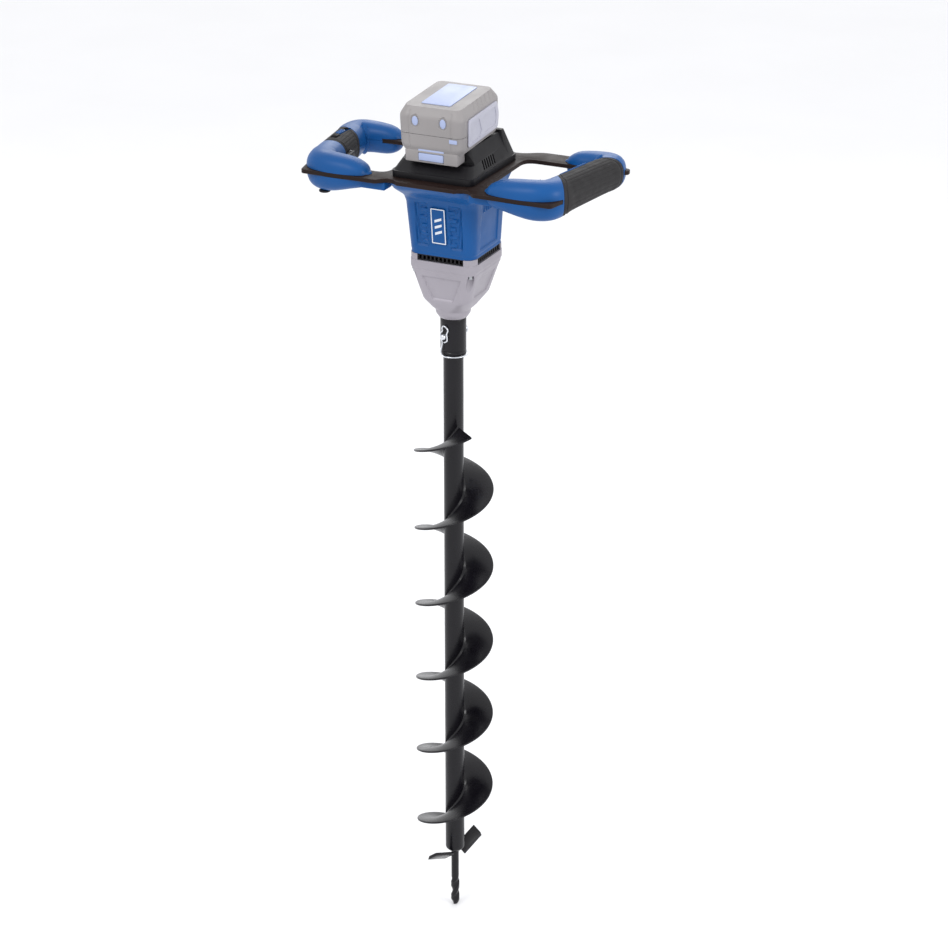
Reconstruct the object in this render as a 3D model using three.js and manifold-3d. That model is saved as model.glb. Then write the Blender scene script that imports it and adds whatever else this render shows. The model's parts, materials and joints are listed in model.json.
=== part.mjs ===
// Cordless earth auger: power head with two loop handles, battery, gearbox and a spiral earth bit.
// Units are millimetres, +Z up along the auger axis, origin at the end of the pilot point.
// +X runs from handle to handle and -Y is the side that carries the badge.
import * as THREE from 'three';
import { mergeVertices } from 'three/addons/utils/BufferGeometryUtils.js';
import Module from 'manifold-3d';

const wasm = await Module();
wasm.setup();

// ---------------------------------------------------------------- driving dimensions
const GAP = 0.3; // between pieces that rest on each other
const DEG = Math.PI / 180;

// bit
const BIT_TURN = 25 * DEG; // rest angle of the bit about its axis
const TUBE_R = 12.5;
const TUBE_WALL = 2;
const TUBE_BOTTOM = 90;
const TUBE_TOP = 829;
const FLIGHT_R = 50;
const FLIGHT_THICK = 3;
const PITCH = 106;
const FLIGHT_Z0 = 78.6; // height of the flight's mid-plane where its angle is zero
const FLIGHT_START = 85 * DEG;
const FLIGHT_END = (5 * 360 + 297) * DEG;
const FLIGHT_STEPS_PER_TURN = 20;
const PILOT_TOP = 82;
const PILOT_R = 5;
const PILOT_WIDE = 11;
const PILOT_FLAT = 7.4;
const TWIST_TOP = 40;
const TWIST_HALF_TURN = 20; // height over which the twisted point turns by half a turn

// coupling
const SLEEVE_R = 16;
const SLEEVE_BOTTOM = 790;
const SLEEVE_TOP = 839.7;
const PIN_Z = 817;
const PIN_R = 3.5;
const PIN_HEAD_R = 5.5;
const WIRE_R = 0.9;
const PIN_TURN = 255 * DEG;
const SPINDLE_R = 10;

// gearbox
const NOSE_BOTTOM = 840.3;
const NOSE_R = 21.5;
const FLANGE_TOP = 918;
const FLANGE_HX = 44;
const FLANGE_HY = 45.5;
const FLANGE_CORNER = 13;
const FLANGE_Y = 9.5; // the casings sit towards +Y of the shaft
const MODULE_MM = 1.2;
const SUN_TEETH = 9;
const PLANET_TEETH = 18;
const RING_TEETH = 45;
const PLANET_COUNT = 3;
const GEAR_LOW = 895;
const GEAR_HIGH = 911;
const RING_OUTER_R = 30;
const BACKLASH = 0.35;
const SHAFT_R = 3;
const SCREW_AT = [36.6, 38.2]; // from the middle of the flange

// body
const BODY_LOW = 926;
const BODY_BEND = 991; // height where the walls start to flare
const BODY_BEND_Y = 7;
const PLATE_LOW = 1021;
const PLATE_HIGH = 1026;
const BADGE_HX = 9.7;
const BADGE_HZ = 23;
const WALL = 3;

// handles
const MID_Z = (PLATE_LOW + PLATE_HIGH) / 2;
const SLEEVE_SKIN = 2.6;

// battery, in a frame tilted about X at the rail plane
const RAIL_Z = 1062;
const BATTERY_TILT = 3.5 * DEG;
const PACK_HX = 42;
const PACK_FRONT = -60;
const PACK_BACK = 47;
const PACK_LOW = 3;
const PACK_SPLIT = 24;
const PACK_HIGH = 56;
const RELEASE_HX = 16;
const CELL_R = 9.1;
const CELL_PITCH = 18.6;

// ---------------------------------------------------------------- materials
const finish = (color, roughness, metalness = 0) =>
  new THREE.MeshStandardMaterial({ color, roughness, metalness });
const BLUE = finish(0x1a5cab, 0.45);
const BLACK_PLASTIC = finish(0x1c1b20, 0.6);
const RUBBER = finish(0x2b2829, 0.85);
const FRAME_PAINT = finish(0x2a1d1a, 0.5, 0.3);
const CAST = finish(0xaaa7ae, 0.5, 0.5);
const BLACK_STEEL = finish(0x14141a, 0.3, 0.6);
const ZINC = finish(0xc4c8cf, 0.3, 0.9);
const STEEL = finish(0x8d9096, 0.35, 0.9);
const PACK_GREY = finish(0xa9a29f, 0.5);
const PALE_BLUE = finish(0xb9c9e8, 0.45);
const BOARD = finish(0x1f5a35, 0.6);
const COPPER = finish(0xb06a3a, 0.4, 0.8);

// ---------------------------------------------------------------- helpers
const part = new THREE.Group();

// A closed geometry as a solid.
function solid(geometry) {
  const bare = geometry.clone();
  bare.deleteAttribute('normal');
  bare.deleteAttribute('uv');
  const merged = mergeVertices(bare, 1e-3);
  return new wasm.Manifold(
    new wasm.Mesh({
      numProp: 3,
      vertProperties: merged.attributes.position.array,
      triVerts: new Uint32Array(merged.index.array),
    }),
  );
}

function geometryOf(body) {
  const mesh = body.getMesh();
  const geometry = new THREE.BufferGeometry();
  geometry.setAttribute('position', new THREE.BufferAttribute(mesh.vertProperties, 3));
  geometry.setIndex(new THREE.BufferAttribute(mesh.triVerts, 1));
  geometry.computeVertexNormals();
  return geometry;
}

// Adds one named piece to the part.
function piece(name, body, material, parent = part) {
  const mesh = new THREE.Mesh(geometryOf(body), material);
  mesh.name = name;
  parent.add(mesh);
  return mesh;
}

function box(x0, x1, y0, y1, z0, z1) {
  const geometry = new THREE.BoxGeometry(x1 - x0, y1 - y0, z1 - z0);
  return solid(geometry.translate((x0 + x1) / 2, (y0 + y1) / 2, (z0 + z1) / 2));
}

function post(radius, z0, z1, sides = 24, x = 0, y = 0) {
  const geometry = new THREE.CylinderGeometry(radius, radius, z1 - z0, sides);
  return solid(geometry.rotateX(Math.PI / 2).translate(x, y, (z0 + z1) / 2));
}

function tube(outer, inner, z0, z1, sides = 24) {
  return post(outer, z0, z1, sides).subtract(post(inner, z0 - 1, z1 + 1, sides));
}

// A solid of revolution about Z from [radius, height] pairs that start and end on the axis.
function turned(profile, sides = 24) {
  const points = profile.map(([r, z]) => new THREE.Vector2(r, z));
  return solid(new THREE.LatheGeometry(points, sides).rotateX(Math.PI / 2));
}

// A flat outline extruded from z0 to z1.
function slab(shape, z0, z1, curveSegments = 4) {
  const geometry = new THREE.ExtrudeGeometry(shape, { depth: z1 - z0, bevelEnabled: false, curveSegments });
  return solid(geometry.translate(0, 0, z0));
}

// A closed outline with each corner rounded by its own radius.
function roundedOutline(points, target = new THREE.Shape()) {
  const corners = points.map(([x, y, r = 0]) => ({ at: new THREE.Vector2(x, y), r }));
  corners.forEach(({ at, r }, i) => {
    const before = corners[(i + corners.length - 1) % corners.length].at;
    const after = corners[(i + 1) % corners.length].at;
    const start = at.clone().add(before.clone().sub(at).setLength(r));
    const end = at.clone().add(after.clone().sub(at).setLength(r));
    if (i === 0) target.moveTo(start.x, start.y);
    else target.lineTo(start.x, start.y);
    if (r > 0) target.quadraticCurveTo(at.x, at.y, end.x, end.y);
  });
  target.closePath();
  return target;
}

const roundedBlock = (hx, y0, y1, r, z0, z1) =>
  slab(roundedOutline([[-hx, y0, r], [hx, y0, r], [hx, y1, r], [-hx, y1, r]]), z0, z1);

// One ring of a loft: a rectangle with rounded corners at height z.
function roundRing({ z, hx, hy, r, y = 0 }, steps = 4) {
  const ring = [];
  for (let corner = 0; corner < 4; corner++) {
    const sx = corner === 0 || corner === 3 ? 1 : -1;
    const sy = corner < 2 ? 1 : -1;
    for (let i = 0; i <= steps; i++) {
      const a = (corner + i / steps) * 90 * DEG;
      ring.push(new THREE.Vector3(sx * (hx - r) + r * Math.cos(a), y + sy * (hy - r) + r * Math.sin(a), z));
    }
  }
  return ring;
}

// A closed body through rings of equal point count, each counter-clockwise seen from the last ring.
function loft(rings) {
  const count = rings[0].length;
  const positions = [];
  const index = [];
  rings.flat().forEach((p) => positions.push(p.x, p.y, p.z));
  for (let k = 0; k + 1 < rings.length; k++) {
    for (let i = 0; i < count; i++) {
      const j = (i + 1) % count;
      const a = k * count + i;
      const b = k * count + j;
      index.push(a, b, b + count, a, b + count, a + count);
    }
  }
  const last = (rings.length - 1) * count;
  for (let i = 1; i + 1 < count; i++) {
    index.push(0, i + 1, i);
    index.push(last, last + i, last + i + 1);
  }
  const geometry = new THREE.BufferGeometry();
  geometry.setAttribute('position', new THREE.BufferAttribute(new Float32Array(positions), 3));
  geometry.setIndex(index);
  return solid(geometry);
}

const towerOf = (rows, steps) => loft(rows.map((row) => roundRing(row, steps)));

const mirrored = (body) => body.mirror([1, 0, 0]);

// ---------------------------------------------------------------- bit
const bit = new THREE.Group();
bit.rotation.z = BIT_TURN;
part.add(bit);

function bitTube() {
  const outside = turned([
    [0, PILOT_TOP + 0.5],
    [6, PILOT_TOP + 0.5],
    [TUBE_R, TUBE_BOTTOM],
    [TUBE_R, TUBE_TOP],
    [0, TUBE_TOP],
  ]);
  const bore = post(TUBE_R - TUBE_WALL, TUBE_BOTTOM + 4, TUBE_TOP + 1, 16);
  return outside.subtract(bore).subtract(pinBore(PIN_TURN - BIT_TURN));
}

// The cross hole for the hitch pin.
function pinBore(turn) {
  const geometry = new THREE.CylinderGeometry(PIN_R + GAP, PIN_R + GAP, 60, 12);
  geometry.rotateZ(Math.PI / 2).rotateZ(turn);
  return solid(geometry.translate(0, 0, PIN_Z));
}

const flightHeight = (angle) => FLIGHT_Z0 + (PITCH * angle) / (2 * Math.PI);

function flight() {
  const inner = TUBE_R + GAP;
  const steps = Math.ceil(((FLIGHT_END - FLIGHT_START) / (2 * Math.PI)) * FLIGHT_STEPS_PER_TURN);
  const rings = [];
  for (let k = 0; k <= steps; k++) {
    const angle = FLIGHT_START + ((FLIGHT_END - FLIGHT_START) * k) / steps;
    const z = flightHeight(angle);
    const at = (r, dz) => new THREE.Vector3(r * Math.cos(angle), r * Math.sin(angle), z + dz);
    const half = FLIGHT_THICK / 2;
    rings.push([at(inner, -half), at(inner, half), at(FLIGHT_R, half), at(FLIGHT_R, -half)]);
  }
  return loft(rings);
}

// A flat cutter whose lower edge leads: its inner end is the lower one.
function blade(turn) {
  const innerLead = new THREE.Vector3(13, 5.8, 72);
  const along = new THREE.Vector3(24, 27.2, 15);
  const across = new THREE.Vector3(-12, 7, 11);
  const face = along.clone().cross(across).normalize().multiplyScalar(4);
  const bevel = along.clone().multiplyScalar(0.06);
  const rings = [new THREE.Vector3(), along.clone()].map((shift, i) => {
    const corner = innerLead.clone().add(shift).sub(i ? bevel : new THREE.Vector3());
    return [
      corner.clone(),
      corner.clone().add(across),
      corner.clone().add(across).add(face),
      corner.clone().add(face).add(across.clone().multiplyScalar(0.22)),
    ];
  });
  return loft(rings).rotate([0, 0, turn]);
}

// Round shank that turns into a twisted flat point.
function pilotPoint() {
  const ring = (z, wide, flat, turn, corner) =>
    roundRing({ z, hx: wide / 2, hy: flat / 2, r: corner }, 2).map((p) =>
      p.applyAxisAngle(new THREE.Vector3(0, 0, 1), turn),
    );
  const rings = [ring(0, 7, 5, -90 * DEG, 1), ring(3, PILOT_WIDE - 1, PILOT_FLAT - 1, -60 * DEG, 1)];
  for (let z = 6; z <= TWIST_TOP - 4; z += 3) {
    rings.push(ring(z, PILOT_WIDE, PILOT_FLAT, (z * 180 * DEG) / TWIST_HALF_TURN - 90 * DEG, 1.2));
  }
  rings.push(ring(TWIST_TOP + 3, 2 * PILOT_R, 2 * PILOT_R, 270 * DEG, PILOT_R - 0.01));
  rings.push(ring(PILOT_TOP, 2 * PILOT_R, 2 * PILOT_R, 270 * DEG, PILOT_R - 0.01));
  return loft(rings);
}

piece('bit_tube', bitTube(), BLACK_STEEL, bit);
piece('auger_flight', flight(), BLACK_STEEL, bit);
piece('cutting_blade_1', blade(0), BLACK_STEEL, bit);
piece('cutting_blade_2', blade(180), BLACK_STEEL, bit);
piece('pilot_point', pilotPoint(), BLACK_STEEL, bit);

// ---------------------------------------------------------------- coupling
function driveSleeve() {
  const outside = turned([
    [0, SLEEVE_BOTTOM],
    [SLEEVE_R - 1.5, SLEEVE_BOTTOM],
    [SLEEVE_R, SLEEVE_BOTTOM + 2],
    [SLEEVE_R, SLEEVE_TOP - 1],
    [SLEEVE_R - 1, SLEEVE_TOP],
    [0, SLEEVE_TOP],
  ]);
  return outside
    .subtract(post(TUBE_R + GAP, SLEEVE_BOTTOM - 1, TUBE_TOP + 0.4))
    .subtract(post(SPINDLE_R + GAP, TUBE_TOP, SLEEVE_TOP + 1))
    .subtract(pinBore(PIN_TURN));
}

// Pin along +X of its own group: plain rounded tip on the +X side, round head on the other.
function hitchPin() {
  const profile = [
    [0, -SLEEVE_R - 7],
    [PIN_HEAD_R - 1, -SLEEVE_R - 7],
    [PIN_HEAD_R, -SLEEVE_R - 6],
    [PIN_HEAD_R, -SLEEVE_R - 3],
    [PIN_R, -SLEEVE_R - 3],
    [PIN_R, SLEEVE_R + 4],
    [PIN_R - 1.2, SLEEVE_R + 5.4],
    [0, SLEEVE_R + 5.8],
  ];
  return turned(profile, 14).rotate([0, 90, 0]);
}

// Spring wire: an eye over the pin's tip, a tail to the rim, and a bow round one side to the head.
function lockClip() {
  const reach = SLEEVE_R + WIRE_R + 1;
  const eye = [
    [0.4, -7.2], [4.8, -4.6], [5.2, 0], [4.6, 4.6], [6.2, 9.4], [3.6, 13.4], [0, 14.2], [-2.2, 11.4],
    [-1.8, 7.6], [-5.2, 3.6], [-5, -1.6], [-2.2, -6.6], [-2.8, -12], [-4.6, -18], [-4, -22.6],
  ].map(([y, z]) => new THREE.Vector3(Math.sqrt(reach * reach - y * y) + 0.6, y, z));
  const bow = [];
  for (let turn = 0; turn <= 162; turn += 18) {
    const a = turn * DEG;
    bow.push(new THREE.Vector3(reach * Math.cos(a), reach * Math.sin(a), -25.4));
  }
  const rise = [[-reach - 1.6, 0.8, -17], [-reach - 2, 0, -PIN_HEAD_R - 2 * GAP]];
  const points = [...eye, ...bow, ...rise.map((p) => new THREE.Vector3(...p))];
  const section = new THREE.Shape();
  section.absarc(0, 0, WIRE_R, 0, 2 * Math.PI);
  const extrudePath = new THREE.CatmullRomCurve3(points);
  const wire = { extrudePath, steps: 64, bevelEnabled: false, curveSegments: 3 };
  return solid(new THREE.ExtrudeGeometry(section, wire));
}

const cross = new THREE.Group();
cross.rotation.z = PIN_TURN;
cross.position.z = PIN_Z;
part.add(cross);
piece('drive_sleeve', driveSleeve(), BLACK_STEEL);
piece('hitch_pin', hitchPin(), ZINC, cross);
piece('lock_clip', lockClip(), ZINC, cross);

// ---------------------------------------------------------------- gearbox
function gearboxHousing() {
  const outside = towerOf([
    { z: NOSE_BOTTOM, hx: 17.5, hy: 17.5, r: 17.4 },
    { z: 846, hx: NOSE_R, hy: NOSE_R, r: NOSE_R - 0.1 },
    { z: 851, hx: NOSE_R, hy: NOSE_R, r: NOSE_R - 0.1 },
    { z: 853, hx: 24, hy: 25, r: 19, y: 2.5 },
    { z: 866, hx: 31.5, hy: 38, r: 15, y: 9 },
    { z: 900, hx: 41.2, hy: 43.5, r: FLANGE_CORNER, y: FLANGE_Y },
    { z: 907, hx: FLANGE_HX, hy: FLANGE_HY, r: FLANGE_CORNER, y: FLANGE_Y },
    { z: FLANGE_TOP, hx: FLANGE_HX, hy: FLANGE_HY, r: FLANGE_CORNER, y: FLANGE_Y },
  ]);
  const inside = towerOf([
    { z: 860, hx: 20, hy: 20, r: 14, y: 1 },
    { z: 880, hx: 28, hy: 31, r: 14, y: 5 },
    { z: 892, hx: 33, hy: 37.7, r: 14, y: 7.2 },
    { z: FLANGE_TOP + 1, hx: FLANGE_HX - 4, hy: FLANGE_HY - 4, r: 10, y: FLANGE_Y },
  ]);
  let body = outside.subtract(inside);
  body = body.subtract(post(SPINDLE_R + 1, NOSE_BOTTOM - 1, 862));
  body = body.subtract(post(14, 844, 850)).subtract(post(17, 849.7, 861));
  for (const [x, y] of screwPlaces()) {
    body = body.subtract(post(3.6, 840, 905.6, 10, x, y)).subtract(post(1.9, 900, 920, 10, x, y));
  }
  return body;
}

function screwPlaces() {
  const [dx, dy] = SCREW_AT;
  return [[-dx, -dy], [-dx, dy], [dx, -dy], [dx, dy]].map(([x, y]) => [x, FLANGE_Y + y]);
}

// A gear outline with straight-sided teeth, centred on the origin; start sets the first tooth.
function gearShape(teeth, start, inward = false) {
  const pitchR = (MODULE_MM * teeth) / 2;
  const tip = pitchR + (inward ? -0.8 : 0.8) * MODULE_MM;
  const root = pitchR + (inward ? 1.15 : -1.15) * MODULE_MM;
  const halfPitch = (MODULE_MM * Math.PI) / 4 - BACKLASH / 2;
  const points = [];
  for (let i = 0; i < teeth; i++) {
    const a = start + (i * 2 * Math.PI) / teeth;
    const widths = [[root, halfPitch * 1.45], [tip, halfPitch * 0.5]];
    for (const [r, w] of widths) points.push([r, a - w / r]);
    for (const [r, w] of widths.slice().reverse()) points.push([r, a + w / r]);
  }
  const flat = points.map(([r, a]) => new THREE.Vector2(r * Math.cos(a), r * Math.sin(a)));
  return inward ? new THREE.Path(flat) : new THREE.Shape(flat);
}

function ringGear() {
  const outline = new THREE.Shape();
  outline.absarc(0, 0, RING_OUTER_R, 0, 2 * Math.PI);
  outline.holes.push(gearShape(RING_TEETH, 0, true));
  return slab(outline, GEAR_LOW, GEAR_HIGH, 12);
}

const ORBIT_R = (MODULE_MM * (SUN_TEETH + PLANET_TEETH)) / 2;

// Each planet has a gap between two teeth towards the ring tooth and towards the sun tooth.
function planetGear(k) {
  const turn = (k * 2 * Math.PI) / PLANET_COUNT;
  const gear = slab(gearShape(PLANET_TEETH, Math.PI / PLANET_TEETH), GEAR_LOW, GEAR_HIGH);
  return gear
    .subtract(post(SHAFT_R + GAP, GEAR_LOW - 1, GEAR_HIGH + 1, 12))
    .translate([ORBIT_R, 0, 0])
    .rotate([0, 0, turn / DEG]);
}

function sunGear() {
  return slab(gearShape(SUN_TEETH, 0), GEAR_LOW, GEAR_HIGH)
    .subtract(post(SHAFT_R + GAP, GEAR_LOW - 1, GEAR_HIGH + 1, 12));
}

function outputSpindle() {
  let body = turned([
    [0, TUBE_TOP + 0.7],
    [SPINDLE_R, TUBE_TOP + 0.7],
    [SPINDLE_R, 863],
    [14, 863],
    [14, 881],
    [25, 881],
    [25, GEAR_LOW - 3],
    [0, GEAR_LOW - 3],
  ]);
  for (let k = 0; k < PLANET_COUNT; k++) {
    const a = (k * 2 * Math.PI) / PLANET_COUNT;
    body = body.add(post(SHAFT_R, GEAR_LOW - 4, GEAR_HIGH, 12, ORBIT_R * Math.cos(a), ORBIT_R * Math.sin(a)));
  }
  return body;
}

piece('gearbox_housing', gearboxHousing(), CAST);
piece('ring_gear', ringGear(), STEEL);
piece('sun_gear', sunGear(), STEEL);
for (let k = 0; k < PLANET_COUNT; k++) piece(`planet_gear_${k + 1}`, planetGear(k), STEEL);
piece('output_spindle', outputSpindle(), STEEL);
piece('output_bearing', tube(16.7, SPINDLE_R + GAP, 850, 859.7), STEEL);
piece('shaft_seal', tube(13.7, SPINDLE_R + GAP, 844.3, 849.4), RUBBER);

screwPlaces().forEach(([x, y], i) => {
  const head = post(2.9, 901.5, 905.2, 10, x, y);
  piece(`gearbox_screw_${i + 1}`, head.add(post(1.5, 905, 917, 8, x, y)), STEEL);
});

// ---------------------------------------------------------------- motor
const MOTOR_R = 32;

function coolingFan() {
  let fan = post(28, 920, 921.6, 24).add(post(7, 921, 930, 16));
  for (let k = 0; k < 9; k++) {
    const blade = box(8, 27, -0.8, 0.8, 921, 930).rotate([0, 0, k * 40 + 12]);
    fan = fan.add(blade);
  }
  return fan.add(post(9, 920, 930, 16)).subtract(post(SHAFT_R + GAP, 919, 931, 12));
}

function stator() {
  let ring = tube(MOTOR_R, 27, 936, 976, 24);
  for (let k = 0; k < 6; k++) {
    ring = ring.add(box(16.8, 28, -4.5, 4.5, 938, 974).rotate([0, 0, k * 60]));
  }
  return ring.subtract(post(17, 930, 980, 24));
}

function motorPlate() {
  const half = FLANGE_HY - 5.8;
  return roundedBlock(FLANGE_HX - 7, FLANGE_Y - half, FLANGE_Y + half - 1, 13, 912.5, 917.5)
    .subtract(post(8.4, 912, 918, 16));
}

piece('motor_plate', motorPlate(), STEEL);
piece('lower_bearing', tube(8, SHAFT_R + GAP, 912.5, 917.5, 16), STEEL);
piece('cooling_fan', coolingFan(), BLACK_PLASTIC);
piece('motor_stator', stator(), COPPER);
piece('rotor_core', tube(16.4, SHAFT_R + GAP, 937, 975, 20), STEEL);
piece('rotor_shaft', post(SHAFT_R, 896, 990, 12), STEEL);
piece('upper_bearing', tube(8, SHAFT_R + GAP, 983.5, 988.5, 16), STEEL);
piece('motor_bracket', tube(MOTOR_R, 8.4, 983, 989, 24), BLACK_PLASTIC);
piece('controller_board', roundedBlock(32, -26, 26, 3, 996, 998).add(box(-20, 0, -12, 12, 997.9, 1004)), BOARD);

// ---------------------------------------------------------------- body
function ventRing() {
  const block = (less, corner, z0, z1) =>
    roundedBlock(FLANGE_HX - less, less - FLANGE_HY, FLANGE_HY - less, corner, z0, z1);
  let ring = block(1, 12, 918.3, 925.7).subtract(block(4.6, 9, 917, 927));
  for (let k = -4; k <= 4; k++) {
    const at = k * 6.2;
    ring = ring.subtract(box(at - 1.7, at + 1.7, -60, 60, 919.6, 924.4));
    ring = ring.subtract(box(-60, 60, at - 1.7, at + 1.7, 919.6, 924.4));
  }
  return ring.translate([0, FLANGE_Y, 0]);
}

function motorHousing() {
  const outside = towerOf([
    { z: BODY_LOW, hx: FLANGE_HX - 1, hy: FLANGE_HY - 1, r: FLANGE_CORNER, y: FLANGE_Y },
    { z: BODY_BEND, hx: 47, hy: 48.5, r: 14, y: BODY_BEND_Y },
    { z: 1000, hx: 48.5, hy: 51, r: 14, y: 5.5 },
    { z: 1013, hx: 52, hy: 66, r: 14 },
    { z: PLATE_LOW - GAP, hx: 53, hy: 72, r: 14 },
  ]);
  const inside = towerOf([
    { z: BODY_LOW - 1, hx: FLANGE_HX - 4, hy: FLANGE_HY - 4, r: 10, y: FLANGE_Y },
    { z: BODY_BEND, hx: 44, hy: 45.2, r: 11, y: BODY_BEND_Y },
    { z: 1012, hx: 46, hy: 48, r: 11, y: 5 },
  ]);
  return outside.subtract(inside);
}

// A thin plate that lies on the leaning front wall.
function badgePlate() {
  const [frontLow, frontHigh] = [FLANGE_Y - FLANGE_HY + 1, BODY_BEND_Y - 48.5];
  const lean = Math.atan2(frontLow - frontHigh, BODY_BEND - BODY_LOW);
  const middle = 965.5;
  const front = frontLow - Math.tan(lean) * (middle - BODY_LOW);
  return box(-BADGE_HX, BADGE_HX, -1, 0, -BADGE_HZ, BADGE_HZ)
    .rotate([lean / DEG, 0, 0])
    .translate([0, front - GAP / 2, middle]);
}

piece('vent_ring', ventRing(), BLACK_PLASTIC);
piece('motor_housing', motorHousing(), BLUE);
piece('badge_plate', badgePlate(), PALE_BLUE);

// ---------------------------------------------------------------- frame plate
function plateSlab(z0, z1) {
  const half = [
    [38, -76, 2], [44, -70, 3], [54, -70, 3], [63, -80, 4], [162.5, -80, 5], [167, -58, 4],
    [168.4, -33, 3], [183.4, 61, 3], [188.2, 66, 2], [188.2, 76, 2], [193, 80, 2], [192, 88, 3],
    [183, 91, 3], [176, 99, 6], [160, 105.6, 10], [70, 106, 11], [50, 92, 11],
  ];
  const outline = roundedOutline([...half, ...half.slice().reverse().map(([x, y, r]) => [-x, y, r])]);
  const hole = [[64, -48, 14], [140, -48, 6], [150, -38, 6], [166, 73, 14], [62, 73, 16]];
  outline.holes.push(roundedOutline(hole.slice().reverse(), new THREE.Path()));
  outline.holes.push(roundedOutline(hole.map(([x, y, r]) => [-x, y, r]), new THREE.Path()));
  return slab(outline, z0, z1, 3);
}

// The room that the handle shells leave for the plate.
function plateRoom() {
  const grown = plateSlab(PLATE_LOW - GAP, PLATE_HIGH + GAP);
  return [[1, 1], [1, -1], [-1, 1], [-1, -1]]
    .map(([x, y]) => grown.translate([x * GAP, y * GAP, 0]))
    .reduce((all, copy) => all.add(copy));
}

const plate = plateSlab(PLATE_LOW, PLATE_HIGH).subtract(post(9, PLATE_LOW - 1, PLATE_HIGH + 1, 16));
piece('frame_plate', plate, FRAME_PAINT);

// ---------------------------------------------------------------- handles
// Stations of the right handle: centre, half width, height above and depth below the plate's middle.
const HANDLE = [
  { at: [74, -61], a: 6, up: 5, down: 9 },
  { at: [82, -61], a: 14, up: 13, down: 14 },
  { at: [100, -60.5], a: 18.5, up: 19, down: 18 },
  { at: [128, -60], a: 19.5, up: 21.5, down: 24 },
  { at: [145, -54], a: 20, up: 21.5, down: 25 },
  { at: [151.5, -40], a: 19.8, up: 21, down: 24 },
  { at: [153, -30], a: 19.5, up: 20.7, down: 22.5 },
  { at: [157, -6], a: 19.2, up: 20.2, down: 21.4 },
  { at: [168, 60], a: 19.2, up: 19.1, down: 20.4 },
  { at: [169, 68], a: 18.8, up: 18.7, down: 20.2 },
  { at: [164, 82], a: 18.5, up: 18.5, down: 20.5 },
  { at: [150, 88], a: 17.5, up: 17.5, down: 20 },
  { at: [128, 88], a: 15, up: 15.5, down: 19 },
  { at: [116, 87], a: 11, up: 10, down: 14 },
  { at: [111, 86.5], a: 5, up: 4.5, down: 6 },
];

// One section of the handle: a soft-cornered oval across the path.
function handleRing({ at, a, up, down }, before, after, shrink) {
  const [ux, uy] = [after[0] - before[0], after[1] - before[1]];
  const length = Math.hypot(ux, uy);
  const side = [uy / length, -ux / length];
  const ring = [];
  const soft = (v) => Math.sign(v) * Math.abs(v) ** 0.82;
  for (let i = 0; i < 16; i++) {
    const t = ((i + 0.5) * 2 * Math.PI) / 16;
    const across = (a - shrink) * soft(Math.cos(t));
    const rise = ((t < Math.PI ? up : down) - shrink) * soft(Math.sin(t));
    ring.push(new THREE.Vector3(at[0] + side[0] * across, at[1] + side[1] * across, MID_Z + rise));
  }
  return ring.reverse();
}

function handleLoft(stations, shrink = 0) {
  return loft(
    stations.map((station, k) => {
      const before = stations[Math.max(k - 1, 0)].at;
      const after = stations[Math.min(k + 1, stations.length - 1)].at;
      return handleRing(station, before, after, shrink);
    }),
  );
}

const BIG = 400;
const above = (z) => box(-BIG, BIG, -BIG, BIG, z, z + BIG);
const below = (z) => box(-BIG, BIG, -BIG, BIG, z - BIG, z);
const cavity = () => handleLoft(HANDLE.slice(2, 13), SLEEVE_SKIN + WALL);

// The stretch of the grip that carries rubber: a plan outline from the inner to the outer side.
const RIGHT_RUBBER = [[125, 1.5], [185, -79.5], [205, -79.5], [205, 88.6], [125, 58.6]];
const LEFT_RUBBER = [[125, -12.5], [205, -12.5], [205, 66.2], [125, 29.5]];

function rubberZone(outline) {
  const shape = new THREE.Shape(outline.map(([x, y]) => new THREE.Vector2(x, y)));
  return solid(new THREE.ExtrudeGeometry(shape, { depth: 100, bevelEnabled: false }).translate(0, 0, MID_Z - 50));
}

// The hard part of a handle, thinner where the rubber lies on it.
function handleBody(outline) {
  const core = handleLoft(HANDLE, SLEEVE_SKIN + GAP);
  return handleLoft(HANDLE).subtract(rubberZone(outline)).add(core).subtract(cavity());
}

function sleeveBody(outline) {
  const zone = rubberZone(outline);
  const inset = zone.translate([0, GAP, 0]).intersect(zone.translate([0, -GAP, 0]));
  return handleLoft(HANDLE).intersect(inset).subtract(handleLoft(HANDLE, SLEEVE_SKIN)).subtract(plateRoom());
}

// The lower shells run on under the plate as a beam that reaches the body.
const beam = () => roundedBlock(20, -72, -52, 3, 1011, MID_Z).translate([74.5, 0, 0]);

const TRIGGER_PIN = [-137.5, 1];
const triggerPocket = () => box(-149.6, -120, -37, 6, 1006, 1030.5);
const buttonPocket = () => box(-166.6, -157.4, 2.6, 13.4, 1032, 1060);
const sliderPocket = () => box(-168.6, -160.4, 17.6, 47.4, 1034, 1060);

function cutControls(body) {
  return body.subtract(triggerPocket()).subtract(buttonPocket()).subtract(sliderPocket());
}

const rightSolid = handleBody(RIGHT_RUBBER).add(beam()).subtract(plateRoom());
const leftSolid = mirrored(handleBody(LEFT_RUBBER).add(beam())).subtract(plateRoom());
piece('right_handle_upper_shell', rightSolid.intersect(above(MID_Z + GAP / 2)), BLUE);
piece('right_handle_lower_shell', rightSolid.intersect(below(MID_Z - GAP / 2)), BLUE);
piece('left_handle_upper_shell', cutControls(leftSolid.intersect(above(MID_Z + GAP / 2))), BLUE);
piece('left_handle_lower_shell', cutControls(leftSolid.intersect(below(MID_Z - GAP / 2))), BLUE);
piece('right_grip_sleeve', sleeveBody(RIGHT_RUBBER), RUBBER);
piece('left_grip_sleeve', cutControls(mirrored(sleeveBody(LEFT_RUBBER))), RUBBER);
piece('left_foot_pad', post(7, 996, 998.2, 16, -140, -62), RUBBER);

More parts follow.
